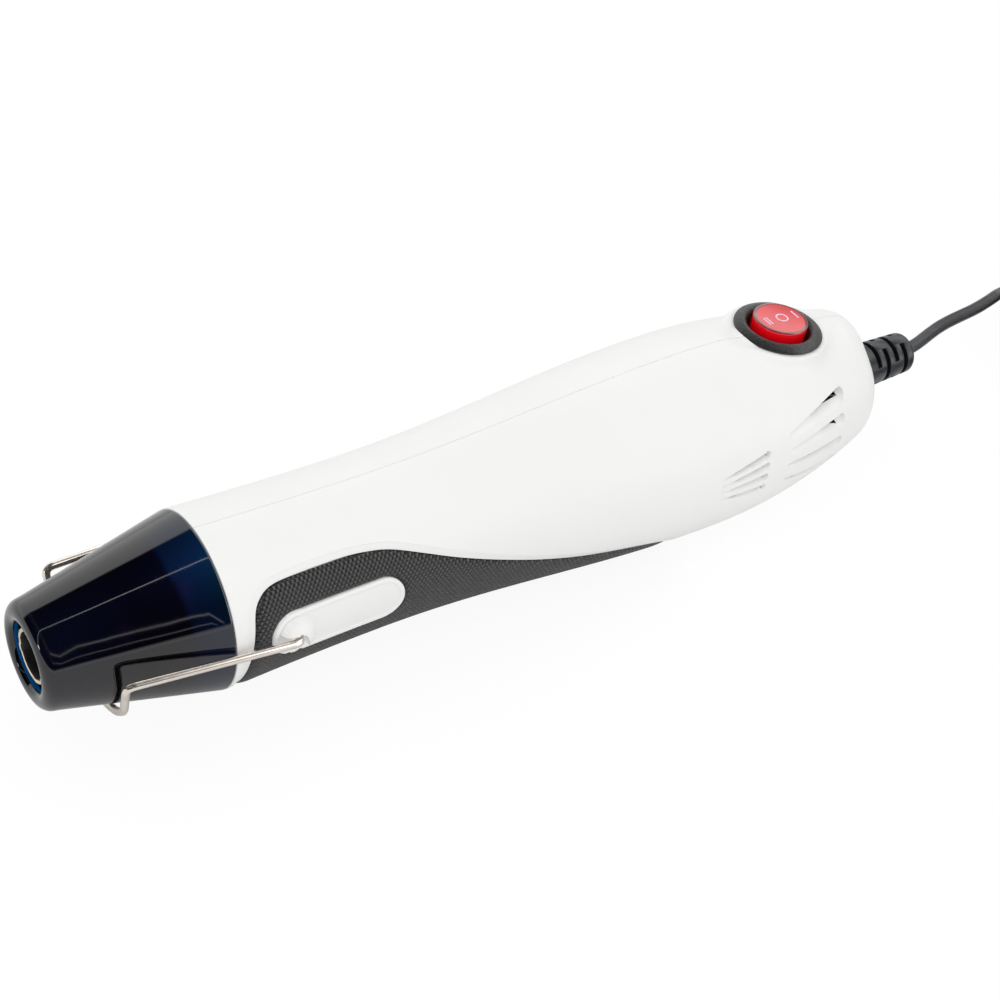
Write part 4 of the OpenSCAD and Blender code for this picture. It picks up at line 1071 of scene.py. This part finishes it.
HALF_BAIL = np.array([[54.3, -18.2, 0.9], [54.3, -ARM_Y, 0.9], [13.9, -20.7, 3.2], [14.8, -17.3, -7.4],
                      [15.2, -12.8, -11.8], [15.9, -7.5, -15.3], [16.1, -3.5, -17]])
BAIL = np.vstack([HALF_BAIL, HALF_BAIL[::-1] * [1, -1, 1]])
verts, faces = sweep(rounded_path(BAIL, 2.1, 9), circle_section(WIRE_R - 0.01, 20), [1, 0, 0])
stand = make_object("stand", world(verts), faces, [MAT["stand_steel"]], sharp=60)
place_piece(stand, "stand", "stand_steel", "stand_wire")

# Switch: a lathe-turned bezel and well, and a rocker with its three marks.

BEZEL_R = 11.5
BEZEL_H = 1.6
BEZEL_OPEN = 8.15
ROCKER_R = 7.1
ROCKER_TOP = 3.4
ROCKER_FACE = 6.2


def on_seat(verts):
    """Turned points, given along the switch's axis first, in the tool's frame."""
    v = np.asarray(verts, float)
    return SEAT + v[:, :1] * SEAT_Z + v[:, 1:2] * [0, 1, 0] + v[:, 2:3] * SEAT_X


bezel_profile = [[-14, 0.4], [-14, 9.95], [-0.02, 9.95], [0.0, BEZEL_R - 0.1], [0.12, BEZEL_R],
                 [0.45, BEZEL_R], [0.58, BEZEL_R - 0.06], [0.92, BEZEL_R - 0.5], [1.4, BEZEL_R - 1.6],
                 [1.55, BEZEL_R - 1.95], [BEZEL_H, BEZEL_R - 2.3], [1.55, BEZEL_OPEN + 0.75],
                 [1.38, BEZEL_OPEN + 0.52], [0.9, BEZEL_OPEN + 0.08], [0.7, BEZEL_OPEN],
                 [-7.6, BEZEL_OPEN], [-7.6, 0.4]]
verts, faces = lathe(bezel_profile, 128)
bezel = make_object("switch_bezel", world(on_seat(verts)), [f[::-1] for f in faces],
                    [MAT["black_plastic"]], sharp=40)
place_piece(bezel, "tool", "black_plastic", "switch_body")

rocker_profile = ([[-4.5, 0.02], [-4.5, ROCKER_R - 0.2], [-4.3, ROCKER_R], [ROCKER_TOP - 0.7, ROCKER_R]]
                  + arc([ROCKER_TOP - 0.4, ROCKER_R - 0.35], 0.35, 90, 20, 5)
                  + [[ROCKER_TOP - 0.02, ROCKER_FACE], [ROCKER_TOP, ROCKER_FACE - 0.3], [ROCKER_TOP, 0.02]])
ROCKER_SIDES = 96
row_finishes = [0] * (len(rocker_profile) - 7) + [2] * 4 + [1] * 2 + [0]
verts, faces = lathe(rocker_profile, ROCKER_SIDES)
rocker = make_object("rocker", world(on_seat(verts)), [f[::-1] for f in faces],
                     [MAT["rocker_red"], MAT["rocker_face"], MAT["rocker_rim"]], sharp=45,
                     indices=np.repeat(row_finishes, ROCKER_SIDES))
place_piece(rocker, "rocker", "rocker_red", "rocker_cap")


def rocker_mark(name, outer, inner):
    """A thin printed mark between two outlines of [across, along] points on the rocker's top."""
    rows = [(ROCKER_TOP - 0.05, outer), (ROCKER_TOP + 0.05, outer), (ROCKER_TOP + 0.05, inner),
            (ROCKER_TOP - 0.05, inner)]
    verts = [[h, a, b] for h, ring in rows for a, b in ring]
    faces = [f[::-1] for f in ring_faces(len(rows), len(outer))]
    mark = make_object(name, world(on_seat(verts)), faces, [MAT["rocker_mark"]])
    return place_piece(mark, "rocker", "rocker_red")


def bar(name, centre, length, width):
    corners = ((-1, -1), (1, -1), (1, 1), (-1, 1))
    outer = [[s * length / 2, centre + t * width / 2] for s, t in corners]
    inner = [[s * (length / 2 - 0.01), centre + t * 0.005] for s, t in corners]
    rocker_mark(name, outer, inner)


MARK_SHIFT = 0.35
rocker_mark("mark_off", *[[[r * math.cos(a), MARK_SHIFT + r * math.sin(a)]
                           for a in 2 * math.pi * np.arange(48) / 48] for r in (1.7, 1.27)])
bar("mark_one", MARK_SHIFT + 4.3, 3.2, 0.45)
bar("mark_two_a", MARK_SHIFT - 4.15, 3.1, 0.4)
bar("mark_two_b", MARK_SHIFT - 5.0, 3.1, 0.4)

# Strain relief: a taper with staggered slots and an end collar, cut from a turned solid.

RELIEF_END = 254.0
relief_profile = ([[228.3, 1.85], [228.3, 6.2], [230.1, 6.2], [230.1, 5.0], [232.8, 5.0], [232.81, 6.15],
                   [232.95, 6.3], [RELIEF_END - 1.4, 5.55]]
                  + arc([RELIEF_END - 1.4, 4.15], 1.4, 85, 10, 7) + [[RELIEF_END, 3.4], [RELIEF_END, 1.85]])
verts, faces = lathe(relief_profile, 96)
relief = make_object("relief", world(verts), faces, [MAT["relief_black"]], sharp=40)
SLOTS_X, SLOT_PITCH, SLOT_W = 239.7, 3.25, 1.45
cutters = []
for i in range(4):
    x0 = SLOTS_X + SLOT_PITCH * i
    for s in (-1, 1):
        low, high = 1.95 if i % 2 else 2.4, 9.0
        lo, hi = (s * low, s * high) if s > 0 else (s * high, s * low)
        corners = [[x, a, b] for x in (x0, x0 + SLOT_W) for a in (-9, 9) for b in (lo, hi)]
        if i % 2:
            corners = [[x, b, a] for x, a, b in corners]
        box = bpy.data.meshes.new("cutter")
        work = bmesh.new()
        for c in corners:
            work.verts.new(world(c))
        bmesh.ops.convex_hull(work, input=work.verts)
        work.to_mesh(box)
        work.free()
        cutters.append(add_object("cutter", box))
for cutter in cutters:
    modifier = relief.modifiers.new("slot", "BOOLEAN")
    modifier.operation = "DIFFERENCE"
    modifier.object = cutter
    modifier.solver = "EXACT"
bevel = relief.modifiers.new("edges", "BEVEL")
bevel.width = 0.00018
bevel.segments = 2
bevel.limit_method = "ANGLE"
bevel.angle_limit = math.radians(40)
applied = bpy.data.meshes.new_from_object(relief.evaluated_get(bpy.context.evaluated_depsgraph_get()))
relief.modifiers.clear()
relief.data = applied
for cutter in cutters:
    bpy.data.objects.remove(cutter)
place_piece(relief, "tool", "cord_black", "strain_relief")


# Studio: a pale floor, a pale surround that is dark towards the camera, and soft lamps.

def studio_floor():
    mesh = bpy.data.meshes.new("floor")
    half = 3.0
    corners = [(-half, -half, 0), (half, -half, 0), (half, half, 0), (-half, half, 0)]
    mesh.from_pydata(corners, [], [(0, 1, 2, 3)])
    floor = add_object("floor", mesh)
    mat, tree, shader = principled("floor", (0.9, 0.9, 0.9), 0.9)
    glow = tree.nodes.new("ShaderNodeEmission")
    mix = tree.nodes.new("ShaderNodeMixShader")
    path = tree.nodes.new("ShaderNodeLightPath")
    share = math_node(tree, "MULTIPLY", path.outputs["Is Camera Ray"], 0.90)
    glow.inputs["Strength"].default_value = 1.02
    tree.links.new(share, mix.inputs["Fac"])
    tree.links.new(shader.outputs[0], mix.inputs[1])
    tree.links.new(glow.outputs[0], mix.inputs[2])
    tree.links.new(mix.outputs[0], tree.nodes["Material Output"].inputs["Surface"])
    mesh.materials.append(mat)


def studio_world():
    """White behind the object and even light around it. Glossy surfaces mirror a dark room with a pale far
    wall, a pale strip along the floor, a window and a softbox at the rear, and three thin tubes."""
    surround = bpy.data.worlds.new("surround")
    bpy.context.scene.world = surround
    surround.use_nodes = True
    tree = surround.node_tree
    direction = coordinates(tree, "Generated")

    def reach(axis, start, full, level):
        """A level that is reached between two distances along an axis."""
        along = tree.nodes.new("ShaderNodeVectorMath")
        along.operation = "DOT_PRODUCT"
        along.inputs[1].default_value = axis
        tree.links.new(direction, along.inputs[0])
        return map_range(tree, along.outputs["Value"], start, full, 0.0, level)

    def tube(axis, at, half, level):
        """A thin bright line across an axis, shown only above the horizon."""
        sides = [reach(axis, at + s * half, at + s * half * 0.6, level) for s in (-1, 1)]
        line = math_node(tree, "MINIMUM", *sides)
        return math_node(tree, "MULTIPLY", line, reach((0, 0, 1), 0.12, 0.18, 1.0))

    far_wall = reach((0, 1, 0), 0.66, 0.70, 1.25)
    floor_strip = reach((0, 0, 1), 0.11, 0.05, 1.1)
    rear_glow = reach((1, 0, 0), 0.15, 0.5, 0.35)
    softbox = reach((0.62, -0.75, 0.2), 0.93, 0.97, 4.0)
    band = math_node(tree, "MINIMUM", reach((0, 0, 1), 0.35, 0.5, 1.0), reach((0, 0, 1), 0.9, 0.75, 1.0))
    window = math_node(tree, "MULTIPLY", band, reach((1, 0, 0), 0.2, 0.4, 2.6))
    tubes = [tube((0, 1, 0), -0.04, 0.012, 3.2), tube((2.25, 0, 1), 0.1625, 0.022, 1.2),
             tube((1.375, 0, 1), 0.0713, 0.014, 0.9)]
    mirrored = 0.012
    for part in [far_wall, floor_strip, rear_glow, softbox, window] + tubes:
        mirrored = math_node(tree, "MAXIMUM", mirrored, part)
    path = tree.nodes.new("ShaderNodeLightPath")
    glossy = path.outputs["Is Glossy Ray"]
    level = math_node(tree, "ADD", math_node(tree, "MULTIPLY", mirrored, glossy),
                      math_node(tree, "MULTIPLY", math_node(tree, "SUBTRACT", 1.0, glossy), 0.945))
    camera_ray = path.outputs["Is Camera Ray"]
    tree.links.new(math_node(tree, "MAXIMUM", level, camera_ray), tree.nodes["Background"].inputs["Strength"])
    tree.nodes["Background"].inputs["Color"].default_value = (1, 1, 1, 1)


def lamp(name, at, aim, size, power, glossy=True):
    data = bpy.data.lights.new(name, "AREA")
    data.shape = "RECTANGLE"
    data.size, data.size_y = size
    data.energy = power
    obj = add_object(name, data)
    obj.location = at
    obj.rotation_euler = (Vector(aim) - Vector(at)).to_track_quat("-Z", "Y").to_euler()
    obj.visible_glossy = glossy


studio_floor()
studio_world()
lamp("overhead", (-0.1, 0.05, 1.1), (0, 0, 0), (1.1, 0.8), 0.5, glossy=False)
lamp("front", (-0.3, -0.8, 1.0), (0, 0, 0.02), (0.9, 0.6), 0.9, glossy=False)
lamp("side", (-1.3, -0.05, 0.3), (-0.12, 0, 0.03), (0.12, 0.12), 0.5)
